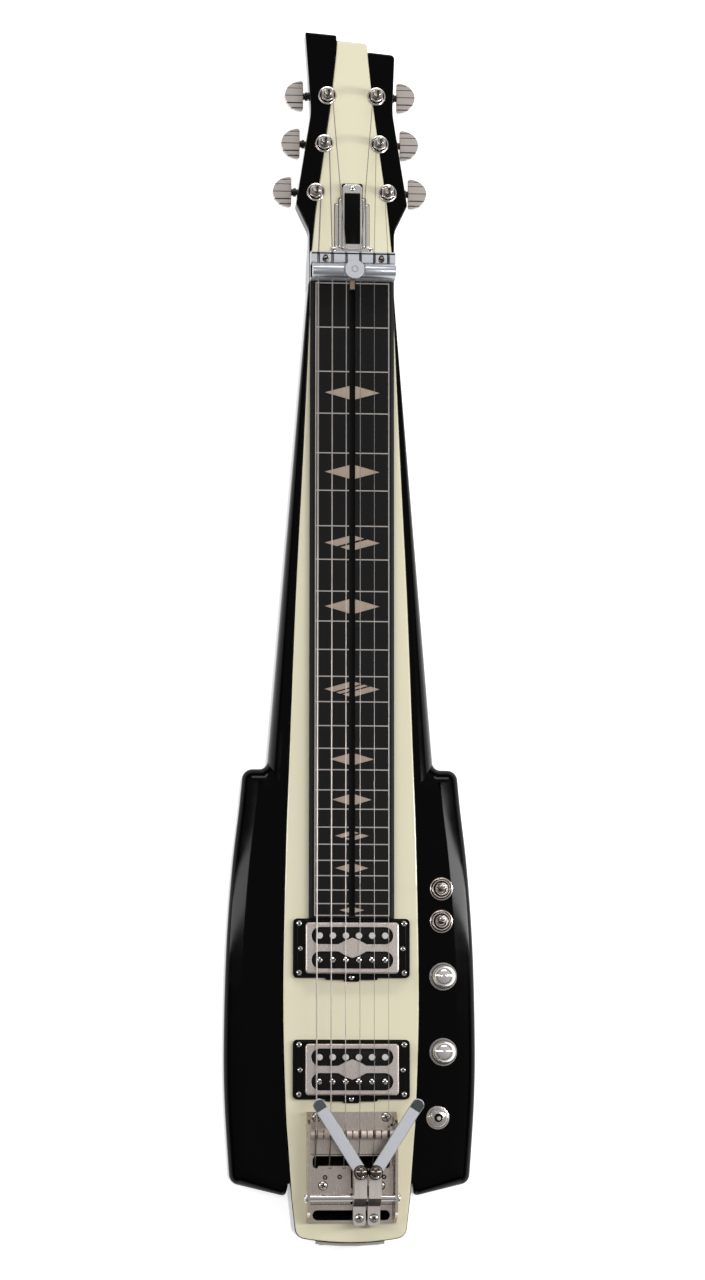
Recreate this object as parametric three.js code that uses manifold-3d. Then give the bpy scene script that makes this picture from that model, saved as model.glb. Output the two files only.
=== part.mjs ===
// A six-string lap steel guitar with a sliding capo and two palm-operated string benders.
// Millimetres, +Z up out of the face, +Y towards the headstock, +X to the treble side.
// The pieces are drawn with the nut at y = 0 and the tail at negative y. The last lines centre the whole.
import * as THREE from 'three';
import { mergeVertices } from 'three/addons/utils/BufferGeometryUtils.js';
import Module from 'manifold-3d';

const wasm = await Module();
wasm.setup();

// Fits and steps shared by all pieces
const seat = 0.3;
const glueLine = 0.2;
const overrun = 1;
const weldDistance = 0.0001;
const leastRadius = 0.2;
const wellGap = 0.45;
const roundSides = 16;
const smallSides = 10;
const boltSides = 8;
const hexSides = 6;
const cornerSteps = 4;
const smallCornerSteps = 2;
const smallCornerRadius = 3.5;
const edgeSteps = 4;

// Scale, strings and heights
const scaleLength = 648;
const fretCount = 24;
const stringGaugeRadii = [0.2, 0.22, 0.28, 0.36, 0.46, 0.58];
const stringCount = stringGaugeRadii.length;
const nutSpacing = 10.7;
const bridgeSpacing = 10.8;
const stringLevel = 56.5;
const coreTop = 42;
const boardThickness = 6;
const boardTop = coreTop + boardThickness;

// Centre core and wings
const wingTop = 38.5;
const wingRoundWidth = 16;
const wingRoundDrop = 10;
const wingFootRound = 4;
const coreRound = 1.3;
const neckHalfAtNut = 32.7;
const neckHalfAtShoulder = 63.4;
const shoulderRadius = 8;
const shoulderHollowRadius = 6;
const bodyHalf = 95;
const wingEndFromSaddle = 46.5;
const wingCornerHalf = 90.1;
const wingCornerRise = 10;
const bulgeFootRun = 10.5;
const wingTipWidth = 1;
const wingTipInsets = [0.02, 0.02];
const wingFootInsets = [0.5, 1];
const neckInsets = [0.68, 0.04];
const tailEndFromSaddle = 80.5;
const tailHalf = 41.3;
const tailCrown = 4.2;
const tailCrownShares = [1 / 3, 2 / 3];
const tailCornerRadius = 8;
const bulgeLength = 300;
const bulgeSteps = 12;
const bulgeShares = [
  [0, 0.858], [0.097, 0.886], [0.248, 0.94], [0.447, 0.983], [0.667, 1], [0.823, 0.994], [1, 0.958],
];
const coreHalfAtBulge = 51.6;
const coreEdgeSteps = 20;
const coreHalfShares = [
  [0, 0.612], [0.18881, 0.725], [0.35455, 0.833], [0.51818, 0.915], [0.62937, 0.965], [0.78672, 1],
  [0.9021, 0.959], [0.94406, 0.922], [1.00175, 0.864],
];

// Headstock
const headTipFromNut = 196.6;
const headThickness = 16;
const headCurveLength = 42;
const heelSetback = 3;
const headTopHalf = 34.2;
const headCreamTopHalf = 12;
const headHornRight = 32.5;
const headWaistHalf = 31.5;
const headWaistFromNut = 134;
const headWideHalf = 43;
const headWideFromNut = 61;
const headWideRadius = 5;
const headNeckFromNut = 40;
const headNeckHalf = 32.9;
const headTopRadius = 3;
const creamTopStep = 8.6;
const trebleTopStep = 18;
const headEdgeRound = 1.6;
const headEdgeSteps = 6;
const headFootInsets = [0.1, 1];
const creamHeadShares = [[0.72, 0.49], [0.59, 0.66], [0.3, 0.88], [0.12, 0.985]];

// Fretboard
const boardWidth = 64.3;
const boardBevelWidth = 2.2;
const boardBevelDrop = 2;
const boardOverhang = 1.2;
const grooveWidth = 4.4;
const grooveFootWidth = 8.4;
const grooveFootHeight = 2;
const grooveFloor = 0.6;
const lineWidth = 0.8;
const lineHeight = 0.2;
const borderInset = 3.8;
const firstLineFromNut = 2;
const inlayDepth = 0.5;
const inlayHalfShares = [[3, 0.656, 0.18], [5, 0.656, 0.203], [7, 0.656, 0.233], [9, 0.65, 0.266], [12, 0.653, 0.319],
  [15, 0.527, 0.298], [17, 0.466, 0.321], [19, 0.4, 0.294], [21, 0.395, 0.331], [24, 0.297, 0.266]];

// Truss rod and its cover
const rodRadius = 3;
const rodDepth = 7;
const rodSetback = 17.2;
const rodNutFromNut = 46;
const rodNutLength = 12;
const rodNutRadius = 4;
const rodPocketLength = 42;
const rodPocketWidth = 11;
const rodPocketStart = 24;
const coverStart = 25.2;
const coverLength = 51;
const coverWidth = 15;
const coverHeight = 4.6;
const coverMidWidth = 20.6;
const coverMidLength = 39;
const coverMidHeight = 3;
const coverLowWidth = 26.3;
const coverLowLength = 35;
const coverLowHeight = 1.6;
const coverFootWidth = 33.7;
const coverFootLength = 4.4;
const coverInlayWidth = 12.4;
const coverInlayLength = 40;
const coverInlayDepth = 0.6;
const coverInlayStart = 29;
const coverCorner = 1.2;

// Nut
const nutWidth = 64.7;
const nutLength = 20.7;
const nutBlockLength = 8.7;
const nutLipLength = 1.5;
const nutLipHeight = 8;
const nutBaseHeight = 5;
const nutBlockRise = 1.3;
const nutSlotWidth = 2;
const nutRidgeLength = 1.5;
const nutScrewHoleRadius = 1.9;
const nutScrewDepth = 8;

// Capo
const capoFromNut = -4.5;
const capoRadius = 5.5;
const capoLength = 63.5;
const capoLift = 1.1;
const capoTravelGap = 0.25;
const shoeLength = 16;
const shoeFrontReach = 11;
const shoeHeadDrop = 0.5;
const stemRadius = 1.5;
const capoFlatDrop = 2.6;
const capoFlatHalf = 8.2;
const wheelRadius = 7.4;
const wheelHeight = 3.2;
const wheelBoreDepth = 2.4;
const stemRise = 1.2;

// Tuners: distance from the nut and from the centre line, nearest pair first
const postPlaces = [[70.3, 27.7, 45.4], [108.6, 21.3, 39], [146.5, 19, 36.4]];
const postRadius = 3;
const postHeight = 15;
const postSlotWidth = 1.6;
const postSlotDepth = 5;
const postWaistDrop = 0.45;
const collarRadius = 7.1;
const collarHeight = 1.6;
const collarNutRadius = 5.2;
const collarNutHeight = 1.6;
const sleeveRadius = 4.8;
const housingWidth = 13;
const housingLength = 17;
const housingHeight = 12;
const housingCorner = 2;
const wormOffset = 4.6;
const wormDrop = 6;
const buttonShaftRadius = 2;
const buttonShaftEntry = 4;
const buttonWidth = 14.3;
const buttonLength = 23.7;
const buttonThickness = 8;
const buttonStepShares = [[1.1, 0.5], [0.76, 0.75], [0.46, 1]];
const buttonInnerCorner = 3;
const buttonOuterCorner = 8.5;
const collarStem = 3;
const windingTurns = 1.5;
const windingGap = 0.45;
const windingSteps = 14;
const stringSides = 6;

// Pickups
const pickupLength = 70;
const pickupWidth = 38;
const pickupTopGap = 3.2;
const pickupCoverHeight = 10;
const pickupWall = 0.8;
const pickupCorner = 3;
const ringEndMargin = 9;
const ringSideMargin = 3.25;
const ringStepEndMargin = 6;
const ringStepSideMargin = 1.9;
const ringHeight = 5;
const ringFootHeight = 3;
const ringTabSetback = 9;
const ringTabLength = 3.4;
const ringCorner = 2.5;
const ringFromBoard = 0.15;
const rearPickupFromSaddle = 47.9;
const poleRadius = 2.4;
const poleRise = 0.5;
const poleEndRoom = 7.85;
const poleRowShare = 0.2421;
const windowSetback = 6.5;
const windowShare = 0.279;
const centreHalfWidth = 9.7;
const centreKnee = 5.2;
const centreKneeRise = 2.5;
const centreTipRise = 4.3;
const bobbinSetback = 4;
const bobbinShare = 0.4105;
const bobbinFloor = 2.4;
const pickupPlateThickness = 1.5;
const wellDepth = 22;

// Controls on the treble wing: across, and from the saddle towards the tail
const switchPlaces = [[68.5, -183.5], [68.5, -159]];
const knobPlaces = [[69.5, -117.5], [69.5, -61]];
const jackPlace = [65.5, -12];
const bezelRadius = 8.85;
const bezelSteps = [[1, 1.4], [0.78, 2.6], [0.58, 3.9]];
const bezelHoleRadius = 2.6;
const bushingRadius = 4.5;
const bushingDepth = 8;
const leverPivotRise = 2;
const leverBallRadius = 3;
const leverLength = 8;
const leverRodRadius = 1.1;
const leverPivotRadius = 2.2;
const leverTilt = 12;
const knobRadius = 10.85;
const knobGap = 0.5;
const knobShaftRadius = 3;
const knobShaftDepth = 9;
const knobHeight = 16;
const knobProfileShares = [[1, 0.03], [1, 0.2], [0.9, 0.23], [0.9, 0.34], [0.83, 0.37], [0.83, 0.47],
  [0.76, 0.5], [0.73, 0.68], [0.6, 0.87], [0.33, 0.98]];
const jackBoreRadius = 3.2;
const jackBarrelRadius = 5.4;
const jackBarrelDepth = 26;
const jackFloor = 2;
const jackNutRadius = 6.3;
const jackNutHeight = 2.3;
const jackLipRadius = 4.4;
const jackLipHeight = 0.8;

// Bridge
const bridgeWidth = 67.4;
const bridgeFrontFromSaddle = 16.5;
const bridgeLength = 82;
const bridgeThickness = 2.5;
const wallThickness = 2;
const wallTop = 60;
const wallFrontRun = 9;
const wallRearRun = 8;
const slotHalf = 29;
const frontSlotFromSaddle = 16.2;
const frontSlotWidth = 9.2;
const frontSlotCorner = 2.8;
const rearSlotFromSaddle = 56.2;
const rearSlotWidth = 7.5;
const saddleRadius = 3.6;
const saddleGrooveRadius = 2.4;
const saddleAxisDrop = 3.3;
const saddleEndRadius = 2;
const saddleGrooveWidth = 1.7;
const saddleMidGroove = 0.5;
const pivotFromSaddle = 47;
const pivotRise = 10.5;
const pivotRadius = 2.5;
const pivotHeadRadius = 3.8;
const pivotHeadLength = 1.8;
const anchorFromSaddle = 23.5;
const anchorLength = 20.5;
const anchorHeight = 4;
const anchorHalf = 31;
const anchorLipThickness = 1.5;
const anchorLipDrop = 10;
const anchorNotchRadius = 2.1;
const anchorBridgeLength = 4;
const anchorBridgeHeight = 1.2;
const ballRadius = 1.9;
const ballLength = 3.4;
const ballLevel = 38.6;
const stringEntryWidth = 2.4;
const anchorScrewRadius = 2.2;
const anchorScrewFromSaddle = 38;
const anchorScrewHalf = 21.5;
const frontScrewRadius = 1.7;
const frontScrewFromSaddle = 12.6;
const frontScrewHalf = 26;
const bridgeWellDepth = 22;

// Benders: their own frame has the pivot at the origin, x to the headstock and y up
const armWidth = 10;
const armPlateTop = 9.8;
const armPlateThickness = 2.5;
const armReach = 24.2;
const armBossRadius = 5;
const armWebFront = 9;
const armWebRear = 4;
const armLegFront = 21.5;
const armLegBack = 18.9;
const armLegFoot = -20;
const armShelfTop = -4.2;
const armShelfRise = 2.15;
const armBlockFront = 6;
const armBlockRear = 20.5;
const armBlockHeight = 8.15;
const armRestGap = 0.35;
const armEntryShare = 0.16;
const studFromPivot = 19.2;
const studRadius = 2;
const domeRadius = 5;
const domeHeight = 4.6;
const bendLeverLength = 57;
const bendLeverWidth = 8.7;
const bendLeverThickness = 2;
const bendLeverAngle = 34;
const bendLeverTipLength = 9;
const bendLeverTipRise = 22;
const benderStrings = [3, 2];

// Tail plate
const tailPlateWidth = 52;
const tailPlateHeight = 18;
const tailPlateThickness = 2.5;
const tailPlateTopDrop = 8;
const tailPlateSteps = 5;

// Colours
const finishes = {
  cream: { color: 0xe9e3c4, roughness: 0.12, metalness: 0 },
  black: { color: 0x08080a, roughness: 0.08, metalness: 0 },
  board: { color: 0x1b1a1c, roughness: 0.45, metalness: 0 },
  inlay: { color: 0xc9b18b, roughness: 0.5, metalness: 0 },
  chrome: { color: 0xcfcfd2, roughness: 0.12, metalness: 1 },
  nickel: { color: 0xb9ada2, roughness: 0.28, metalness: 1 },
  satin: { color: 0xb7bac0, roughness: 0.42, metalness: 1 },
  brass: { color: 0x9a7a52, roughness: 0.35, metalness: 1 },
  steel: { color: 0xb9b4aa, roughness: 0.3, metalness: 1 },
  plastic: { color: 0x0d0d0f, roughness: 0.35, metalness: 0 },
};

const instrument = new THREE.Group();

// Solid helpers

function withoutFlatFaces(index) {
  const kept = [];
  for (let i = 0; i < index.length; i += 3) {
    const [a, b, c] = [index[i], index[i + 1], index[i + 2]];
    if (a !== b && b !== c && c !== a) kept.push(a, b, c);
  }
  return kept;
}

function solidOf(geometry) {
  const bare = geometry.clone();
  bare.deleteAttribute('normal');
  bare.deleteAttribute('uv');
  const merged = mergeVertices(bare, weldDistance);
  const triVerts = Uint32Array.from(withoutFlatFaces(merged.index.array));
  const vertProperties = Float32Array.from(merged.attributes.position.array);
  return new wasm.Manifold(new wasm.Mesh({ numProp: 3, vertProperties, triVerts }));
}

function geometryOf(solid) {
  const mesh = solid.getMesh();
  const geometry = new THREE.BufferGeometry();
  geometry.setAttribute('position', new THREE.Float32BufferAttribute(mesh.vertProperties, mesh.numProp));
  geometry.setIndex(Array.from(mesh.triVerts));
  return geometry;
}

function joined(...solids) {
  return solids.reduce((whole, solid) => whole.add(solid));
}

function cutBy(solid, ...tools) {
  return tools.reduce((whole, tool) => whole.subtract(tool), solid);
}

function addPiece(name, finish, solid, parent = instrument) {
  const geometry = geometryOf(solid).toNonIndexed();
  geometry.computeVertexNormals();
  const mesh = new THREE.Mesh(geometry, new THREE.MeshStandardMaterial(finishes[finish]));
  mesh.name = name;
  parent.add(mesh);
  return mesh;
}

// A block between two corners
function block([x0, x1], [y0, y1], [z0, z1]) {
  const geometry = new THREE.BoxGeometry(x1 - x0, y1 - y0, z1 - z0);
  geometry.translate((x0 + x1) / 2, (y0 + y1) / 2, (z0 + z1) / 2);
  return solidOf(geometry);
}

function span(half) {
  return [-half, half];
}

// A round bar between two points
function bar(from, to, radius, sides = roundSides) {
  const start = new THREE.Vector3(...from);
  const along = new THREE.Vector3(...to).sub(start);
  const geometry = new THREE.CylinderGeometry(radius, radius, along.length(), sides);
  geometry.translate(0, along.length() / 2, 0);
  const turn = new THREE.Quaternion().setFromUnitVectors(new THREE.Vector3(0, 1, 0), along.clone().normalize());
  geometry.applyQuaternion(turn);
  geometry.translate(...from);
  return solidOf(geometry);
}

// A turned piece standing at (x, y): its profile lists radius and height from the axis to the axis
function turned(profile, [x, y], sides = roundSides) {
  const points = profile.map(([radius, height]) => new THREE.Vector2(radius, height));
  const geometry = new THREE.LatheGeometry(points, sides);
  geometry.rotateX(Math.PI / 2);
  geometry.translate(x, y, 0);
  return solidOf(geometry);
}

// A flat outline raised from one height to another
function raised(points, [z0, z1]) {
  const shape = new THREE.Shape(points.map(([x, y]) => new THREE.Vector2(x, y)));
  const geometry = new THREE.ExtrudeGeometry(shape, { depth: z1 - z0, bevelEnabled: false });
  geometry.translate(0, 0, z0);
  return solidOf(geometry);
}

// A side profile, given as (y, z), drawn out along x
function drawnAcross(points, [x0, x1]) {
  const shape = new THREE.Shape(points.map(([y, z]) => new THREE.Vector2(y, z)));
  const geometry = new THREE.ExtrudeGeometry(shape, { depth: x1 - x0, bevelEnabled: false });
  geometry.rotateX(Math.PI / 2);
  geometry.rotateZ(Math.PI / 2);
  geometry.translate(x0, 0, 0);
  return solidOf(geometry);
}

// An end profile, given as (x, z), drawn out along y
function drawnAlong(points, [y0, y1]) {
  const shape = new THREE.Shape(points.map(([x, z]) => new THREE.Vector2(x, z)));
  const geometry = new THREE.ExtrudeGeometry(shape, { depth: y1 - y0, bevelEnabled: false });
  geometry.rotateX(Math.PI / 2);
  geometry.translate(0, y1, 0);
  return solidOf(geometry);
}

// Outline helpers: corners run anticlockwise and may carry a fillet radius and inset shares.
// The shares say how much of an inset the edge that leaves the corner takes at its two ends.

function corner(x, y, radius = 0, insetShares = [1, 1]) {
  const steps = radius > smallCornerRadius ? cornerSteps : smallCornerSteps;
  return { x, y, radius, steps, insetShares };
}

function insetEdges(corners, inset) {
  return corners.map((start, i) => {
    const end = corners[(i + 1) % corners.length];
    const along = new THREE.Vector2(end.x - start.x, end.y - start.y).normalize();
    const inward = new THREE.Vector2(-along.y, along.x);
    const from = new THREE.Vector2(start.x, start.y).addScaledVector(inward, inset * start.insetShares[0]);
    const to = new THREE.Vector2(end.x, end.y).addScaledVector(inward, inset * start.insetShares[1]);
    return { from, to, along: to.clone().sub(from).normalize() };
  });
}

function crossing(before, after) {
  const turn = before.along.cross(after.along);
  if (Math.abs(turn) < weldDistance) return before.to.clone().add(after.from).multiplyScalar(0.5);
  const reach = after.from.clone().sub(before.from).cross(after.along) / turn;
  return before.from.clone().addScaledVector(before.along, reach);
}

function filletPoints(point, before, after, radius, steps) {
  if (radius === 0) return [[point.x, point.y]];
  const turn = Math.atan2(before.along.cross(after.along), before.along.dot(after.along));
  const side = Math.sign(turn);
  const run = radius * Math.tan(Math.abs(turn) / 2);
  const start = point.clone().addScaledVector(before.along, -run);
  const centre = start.clone().addScaledVector(new THREE.Vector2(-before.along.y, before.along.x), side * radius);
  const spoke = start.clone().sub(centre);
  return Array.from({ length: steps + 1 }, (_, k) => {
    const swung = spoke.clone().rotateAround(new THREE.Vector2(), (turn * k) / steps);
    return [centre.x + swung.x, centre.y + swung.y];
  });
}

function outlineOf(corners, inset = 0) {
  const edges = insetEdges(corners, inset);
  return corners.flatMap((from, i) => {
    const before = edges[(i + corners.length - 1) % corners.length];
    const after = edges[i];
    const convex = before.along.cross(after.along) > 0;
    const last = corners[(i + corners.length - 1) % corners.length];
    const share = Math.min(from.insetShares[0], last.insetShares[1]);
    const shrunk = Math.max(from.radius - inset * share, leastRadius);
    const radius = from.radius === 0 ? 0 : convex ? shrunk : from.radius;
    return filletPoints(crossing(before, after), before, after, radius, from.steps);
  });
}

// Rings of equal count stacked at rising heights, closed by flat ends
function stacked(rings) {
  const count = rings[0].points.length;
  const positions = rings.flatMap(({ points, z }) => points.flatMap(([x, y]) => [x, y, z]));
  const index = [];
  for (let level = 0; level + 1 < rings.length; level += 1) {
    for (let i = 0; i < count; i += 1) {
      const a = level * count + i;
      const b = level * count + ((i + 1) % count);
      index.push(a, b, b + count, a, b + count, a + count);
    }
  }
  const capOf = ({ points }) => THREE.ShapeUtils.triangulateShape(points.map((p) => new THREE.Vector2(...p)), []);
  const top = (rings.length - 1) * count;
  for (const [a, b, c] of capOf(rings[0])) index.push(a, c, b);
  for (const [a, b, c] of capOf(rings[rings.length - 1])) index.push(top + a, top + b, top + c);
  const geometry = new THREE.BufferGeometry();
  geometry.setAttribute('position', new THREE.Float32BufferAttribute(positions, 3));
  geometry.setIndex(index);
  return solidOf(geometry);
}

// A slab whose upper edge rolls over by a width and a drop, and whose foot is bevelled
function softSlab(corners, [z0, z1], roundWidth, roundDrop, footBevel = 0, steps = 1) {
  const rings = footBevel > 0 ? [{ points: outlineOf(corners, footBevel), z: z0 }] : [];
  rings.push({ points: outlineOf(corners), z: z0 + footBevel });
  for (let step = 0; step <= steps; step += 1) {
    const angle = (step / steps) * (Math.PI / 2);
    const inset = roundWidth * (1 - Math.cos(angle));
    rings.push({ points: outlineOf(corners, inset), z: z1 - roundDrop * (1 - Math.sin(angle)) });
  }
  return stacked(rings);
}

function roundedBox([x0, x1], [y0, y1], radius) {
  return [corner(x0, y0, radius), corner(x1, y0, radius), corner(x1, y1, radius), corner(x0, y1, radius)];
}

function stadium([x0, x1], [y0, y1]) {
  const radius = Math.min(x1 - x0, y1 - y0) / 2 - weldDistance;
  return outlineOf(roundedBox([x0, x1], [y0, y1], radius));
}

// Places measured from the nut or from the saddle line become y
const fromNut = (distance) => -distance;
const fromSaddle = (distance) => -(scaleLength + distance);
const fretFromNut = (number) => scaleLength * (1 - 2 ** (-number / 12));
const acrossAtNut = (number) => ((stringCount + 1) / 2 - number) * nutSpacing;
const acrossAtBridge = (number) => ((stringCount + 1) / 2 - number) * bridgeSpacing;
const gaugeOf = (number) => stringGaugeRadii[number - 1];
const stringNumbers = stringGaugeRadii.map((_, i) => i + 1);
const heaviest = Math.max(...stringGaugeRadii);
const boardEndFromNut = fretFromNut(fretCount) + boardOverhang;
const rodEndFromNut = boardEndFromNut - rodSetback;
const ringLength = pickupWidth + 2 * ringSideMargin;
const frontPickupFromSaddle = scaleLength - boardEndFromNut - ringFromBoard - ringLength / 2;
const tailEndFromNut = scaleLength + tailEndFromSaddle;
const wingEndFromNut = scaleLength + wingEndFromSaddle;
const shoulderFromNut = wingEndFromNut - wingCornerRise - bulgeFootRun - bulgeLength;
const headFoot = coreTop - headThickness;
const mirrored = (corners) => corners.map((c) => ({ ...c, x: -c.x })).reverse();

// The side view shared by the core and the headstock's side pieces
function headRelief() {
  const heel = new THREE.CubicBezierCurve(
    new THREE.Vector2(fromNut(-heelSetback), 0),
    new THREE.Vector2(fromNut(-heelSetback - headCurveLength / 2), 0),
    new THREE.Vector2(fromNut(-heelSetback - headCurveLength / 2), headFoot),
    new THREE.Vector2(fromNut(-heelSetback - headCurveLength), headFoot),
  );
  const curve = heel.getPoints(edgeSteps * 2).map((p) => [p.x, p.y]);
  const past = headTipFromNut + overrun;
  const below = [[fromNut(-past), headFoot], [fromNut(-past), -overrun], [fromNut(-heelSetback), -overrun]];
  return drawnAcross([...curve, ...below].reverse(), span(headWideHalf + overrun));
}

// Where a straight edge between two points crosses a given y
function sidewaysAt(a, b, y) {
  return a.x + ((b.x - a.x) * (y - a.y)) / (b.y - a.y);
}

// The core's edge, from the nut to where the wings end
const coreEdge = new THREE.SplineCurve(
  coreHalfShares.map(([run, half]) => new THREE.Vector2(half * coreHalfAtBulge, fromNut(run * wingEndFromNut))),
);
const coreEdgePoints = coreEdge.getSpacedPoints(coreEdgeSteps);
const coreHalfAt = (distance) => {
  const after = coreEdgePoints.findIndex((p) => p.y <= fromNut(distance));
  return sidewaysAt(coreEdgePoints[after - 1], coreEdgePoints[after], fromNut(distance));
};
const creamHeadEdge = new THREE.SplineCurve([
  new THREE.Vector2(headCreamTopHalf, fromNut(-(headTipFromNut - creamTopStep))),
  ...creamHeadShares.map(([run, half]) => (
    new THREE.Vector2(half * coreEdgePoints[0].x, fromNut(-run * headTipFromNut))
  )),
]).getSpacedPoints(headEdgeSteps);

function tailCrownAt(x) {
  return fromNut(tailEndFromNut) + tailCrown * (x / tailHalf) ** 2;
}

// One side of the core, from the tail up to the headstock's top, on the treble side
function coreSide() {
  const end = tailCrownShares.map((share) => corner(tailHalf * share, tailCrownAt(tailHalf * share)));
  const edge = [...creamHeadEdge, ...coreEdgePoints].reverse().map((p) => corner(p.x, p.y));
  return [...end, corner(tailHalf, tailCrownAt(tailHalf), tailCornerRadius), ...edge];
}

function pickupWell(distance) {
  const y = fromSaddle(-distance);
  const half = pickupWidth / 2 + wellGap;
  const outline = outlineOf(roundedBox(span(pickupLength / 2 + wellGap), [y - half, y + half], pickupCorner));
  return raised(outline, [coreTop - wellDepth, coreTop + overrun]);
}

const saddleAxis = stringLevel - saddleAxisDrop;
const pivotY = fromSaddle(pivotFromSaddle);
const bridgeFront = fromSaddle(-bridgeFrontFromSaddle);
const bridgeRear = bridgeFront - bridgeLength;
const plateTop = coreTop + bridgeThickness;
const pivotHeight = plateTop + pivotRise;
const sideSigns = { bass: -1, treble: 1 };
const tunerSpots = Object.entries(sideSigns).flatMap(([side, sign]) => (
  postPlaces.map(([distance, half, buttonHalf], i) => (
    { side, number: i + 1, sign, x: sign * half, y: fromNut(-distance), buttonHalf }
  ))
));

function sleeveHoles() {
  return tunerSpots.map(({ x, y }) => (
    bar([x, y, headFoot - overrun], [x, y, coreTop + overrun], sleeveRadius + seat, roundSides)
  ));
}

function centreCore() {
  const side = coreSide();
  const endMiddle = corner(0, fromNut(tailEndFromNut));
  const whole = softSlab([endMiddle, ...side, ...mirrored(side)], [0, coreTop], coreRound, coreRound, coreRound);
  const bridgeWell = raised(outlineOf(roundedBox(span(slotHalf), [fromSaddle(rearSlotFromSaddle + rearSlotWidth),
    fromSaddle(frontSlotFromSaddle)], frontSlotCorner)), [coreTop - bridgeWellDepth, coreTop + overrun]);
  const rodChannel = block(span(rodRadius + seat), [fromNut(rodEndFromNut + seat), fromNut(-rodNutFromNut)],
    [coreTop - rodDepth - rodRadius - seat, coreTop + overrun]);
  const rodPocket = block(span(rodPocketWidth / 2),
    [fromNut(-rodPocketStart), fromNut(-rodPocketStart - rodPocketLength)],
    [coreTop - rodDepth - rodNutRadius - seat, coreTop + overrun]);
  return cutBy(whole, headRelief(), pickupWell(frontPickupFromSaddle), pickupWell(rearPickupFromSaddle),
    bridgeWell, rodChannel, rodPocket, ...sleeveHoles(),
    ...nutScrewHoles(coreTop - nutScrewDepth, coreTop + overrun));
}

// The body wing on the treble side: the bass wing is its mirror image
function bodyWingCorners() {
  const seam = coreEdgePoints.map((p) => corner(p.x + glueLine, p.y, 0, [0, 0]));
  const last = seam[seam.length - 1];
  const tip = corner(last.x + wingTipWidth, last.y, 0, wingTipInsets);
  const tipFoot = corner(coreHalfAt(wingEndFromNut - wingTipWidth) + 2 * wingTipWidth, fromNut(wingEndFromNut),
    shoulderHollowRadius / 2, wingFootInsets);
  const lowCorner = corner(wingCornerHalf, fromNut(wingEndFromNut - wingCornerRise), shoulderRadius);
  const bulge = new THREE.SplineCurve(bulgeShares.map(([run, half]) => (
    new THREE.Vector2(half * bodyHalf, fromNut(shoulderFromNut + run * bulgeLength))
  ))).getSpacedPoints(bulgeSteps).reverse().map((p) => corner(p.x, p.y));
  bulge[bulge.length - 1].radius = shoulderRadius;
  const hollow = corner(neckHalfAtShoulder, fromNut(shoulderFromNut), shoulderHollowRadius, neckInsets);
  const nutTip = corner(neckHalfAtNut, fromNut(glueLine), 0, [0, 0]);
  seam[0].y = fromNut(glueLine);
  return [last, tip, tipFoot, lowCorner, ...bulge, hollow, nutTip, ...seam.slice(0, -1)];
}

const wingHoles = {
  switches: switchPlaces.map(([x, distance]) => [x, distance, bushingRadius, bushingDepth]),
  knobs: knobPlaces.map(([x, distance]) => [x, distance, knobShaftRadius, knobShaftDepth]),
  jack: [[...jackPlace, jackBarrelRadius, jackBarrelDepth]],
};

function bodyWing(side) {
  const corners = side === 'bass' ? mirroredShares(bodyWingCorners()) : bodyWingCorners();
  const wing = softSlab(corners, [0, wingTop], wingRoundWidth, wingRoundDrop, wingFootRound, edgeSteps);
  if (side === 'bass') return wing;
  const holes = Object.values(wingHoles).flat().map(([x, distance, radius, depth]) => (
    bar([x, fromSaddle(distance), wingTop - depth - seat], [x, fromSaddle(distance), wingTop + overrun],
      radius + seat)
  ));
  return cutBy(wing, ...holes);
}

// Mirroring turns the order round, so each edge's shares move to its other end
function mirroredShares(corners) {
  const count = corners.length;
  return corners.map((_, i) => {
    const source = corners[count - 1 - i];
    const edge = corners[(2 * count - 2 - i) % count];
    return { ...source, x: -source.x, insetShares: [edge.insetShares[1], edge.insetShares[0]] };
  });
}

// The stepped headstock's side piece: the bass one stands higher than the treble one
function headWing(side) {
  const topStep = side === 'bass' ? 0 : trebleTopStep;
  const topHalf = side === 'bass' ? headTopHalf : headHornRight;
  const topY = fromNut(-(headTipFromNut - topStep));
  const edge = creamHeadEdge.map((p) => corner(p.x + glueLine, p.y, 0, [0, 0]));
  const meet = corner(coreEdgePoints[0].x + glueLine, fromNut(-glueLine), 0, [0, 0]);
  const outer = [
    corner(neckHalfAtNut, fromNut(-glueLine), 0, headFootInsets),
    corner(headNeckHalf, fromNut(-headNeckFromNut), shoulderHollowRadius * 2),
    corner(headWideHalf, fromNut(-headWideFromNut), headWideRadius),
    corner(headWaistHalf, fromNut(-headWaistFromNut), headWaistHalf),
    corner(topHalf, topY, headTopRadius),
  ];
  const below = edge.findIndex((p) => p.y < topY);
  const topX = below === 0 ? edge[0].x : sidewaysAt(edge[below - 1], edge[below], topY);
  const inner = [corner(topX, topY, leastRadius, [0, 0]), ...edge.slice(below), meet];
  const corners = [...outer, ...inner];
  const shaped = softSlab(side === 'bass' ? mirroredShares(corners) : corners, [0, coreTop],
    headEdgeRound, headEdgeRound);
  return cutBy(shaped, headRelief(), ...sleeveHoles());
}

function centreLineGroove([y0, y1], floor) {
  const mouth = grooveWidth / 2;
  const foot = grooveFootWidth / 2;
  const shelf = floor + grooveFootHeight;
  const top = boardTop + stringLevel;
  return drawnAlong([[-foot, floor], [foot, floor], [foot, shelf], [mouth, shelf], [mouth, top],
    [-mouth, top], [-mouth, shelf], [-foot, shelf]], [y0, y1]);
}

// The half diamonds' pockets either side of the groove
function inlayPockets() {
  return inlayHalfShares.map(([number, acrossShare, alongShare]) => {
    const middle = fromNut((fretFromNut(number - 1) + fretFromNut(number)) / 2);
    const cell = fretFromNut(number) - fretFromNut(number - 1);
    const across = (acrossShare * boardWidth) / 2;
    const along = Math.min(cell * alongShare, cell / 2 - 2 * lineWidth);
    return raised([[-across, middle], [0, middle - along], [across, middle], [0, middle + along]],
      [boardTop - inlayDepth, boardTop + overrun]);
  });
}

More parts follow.
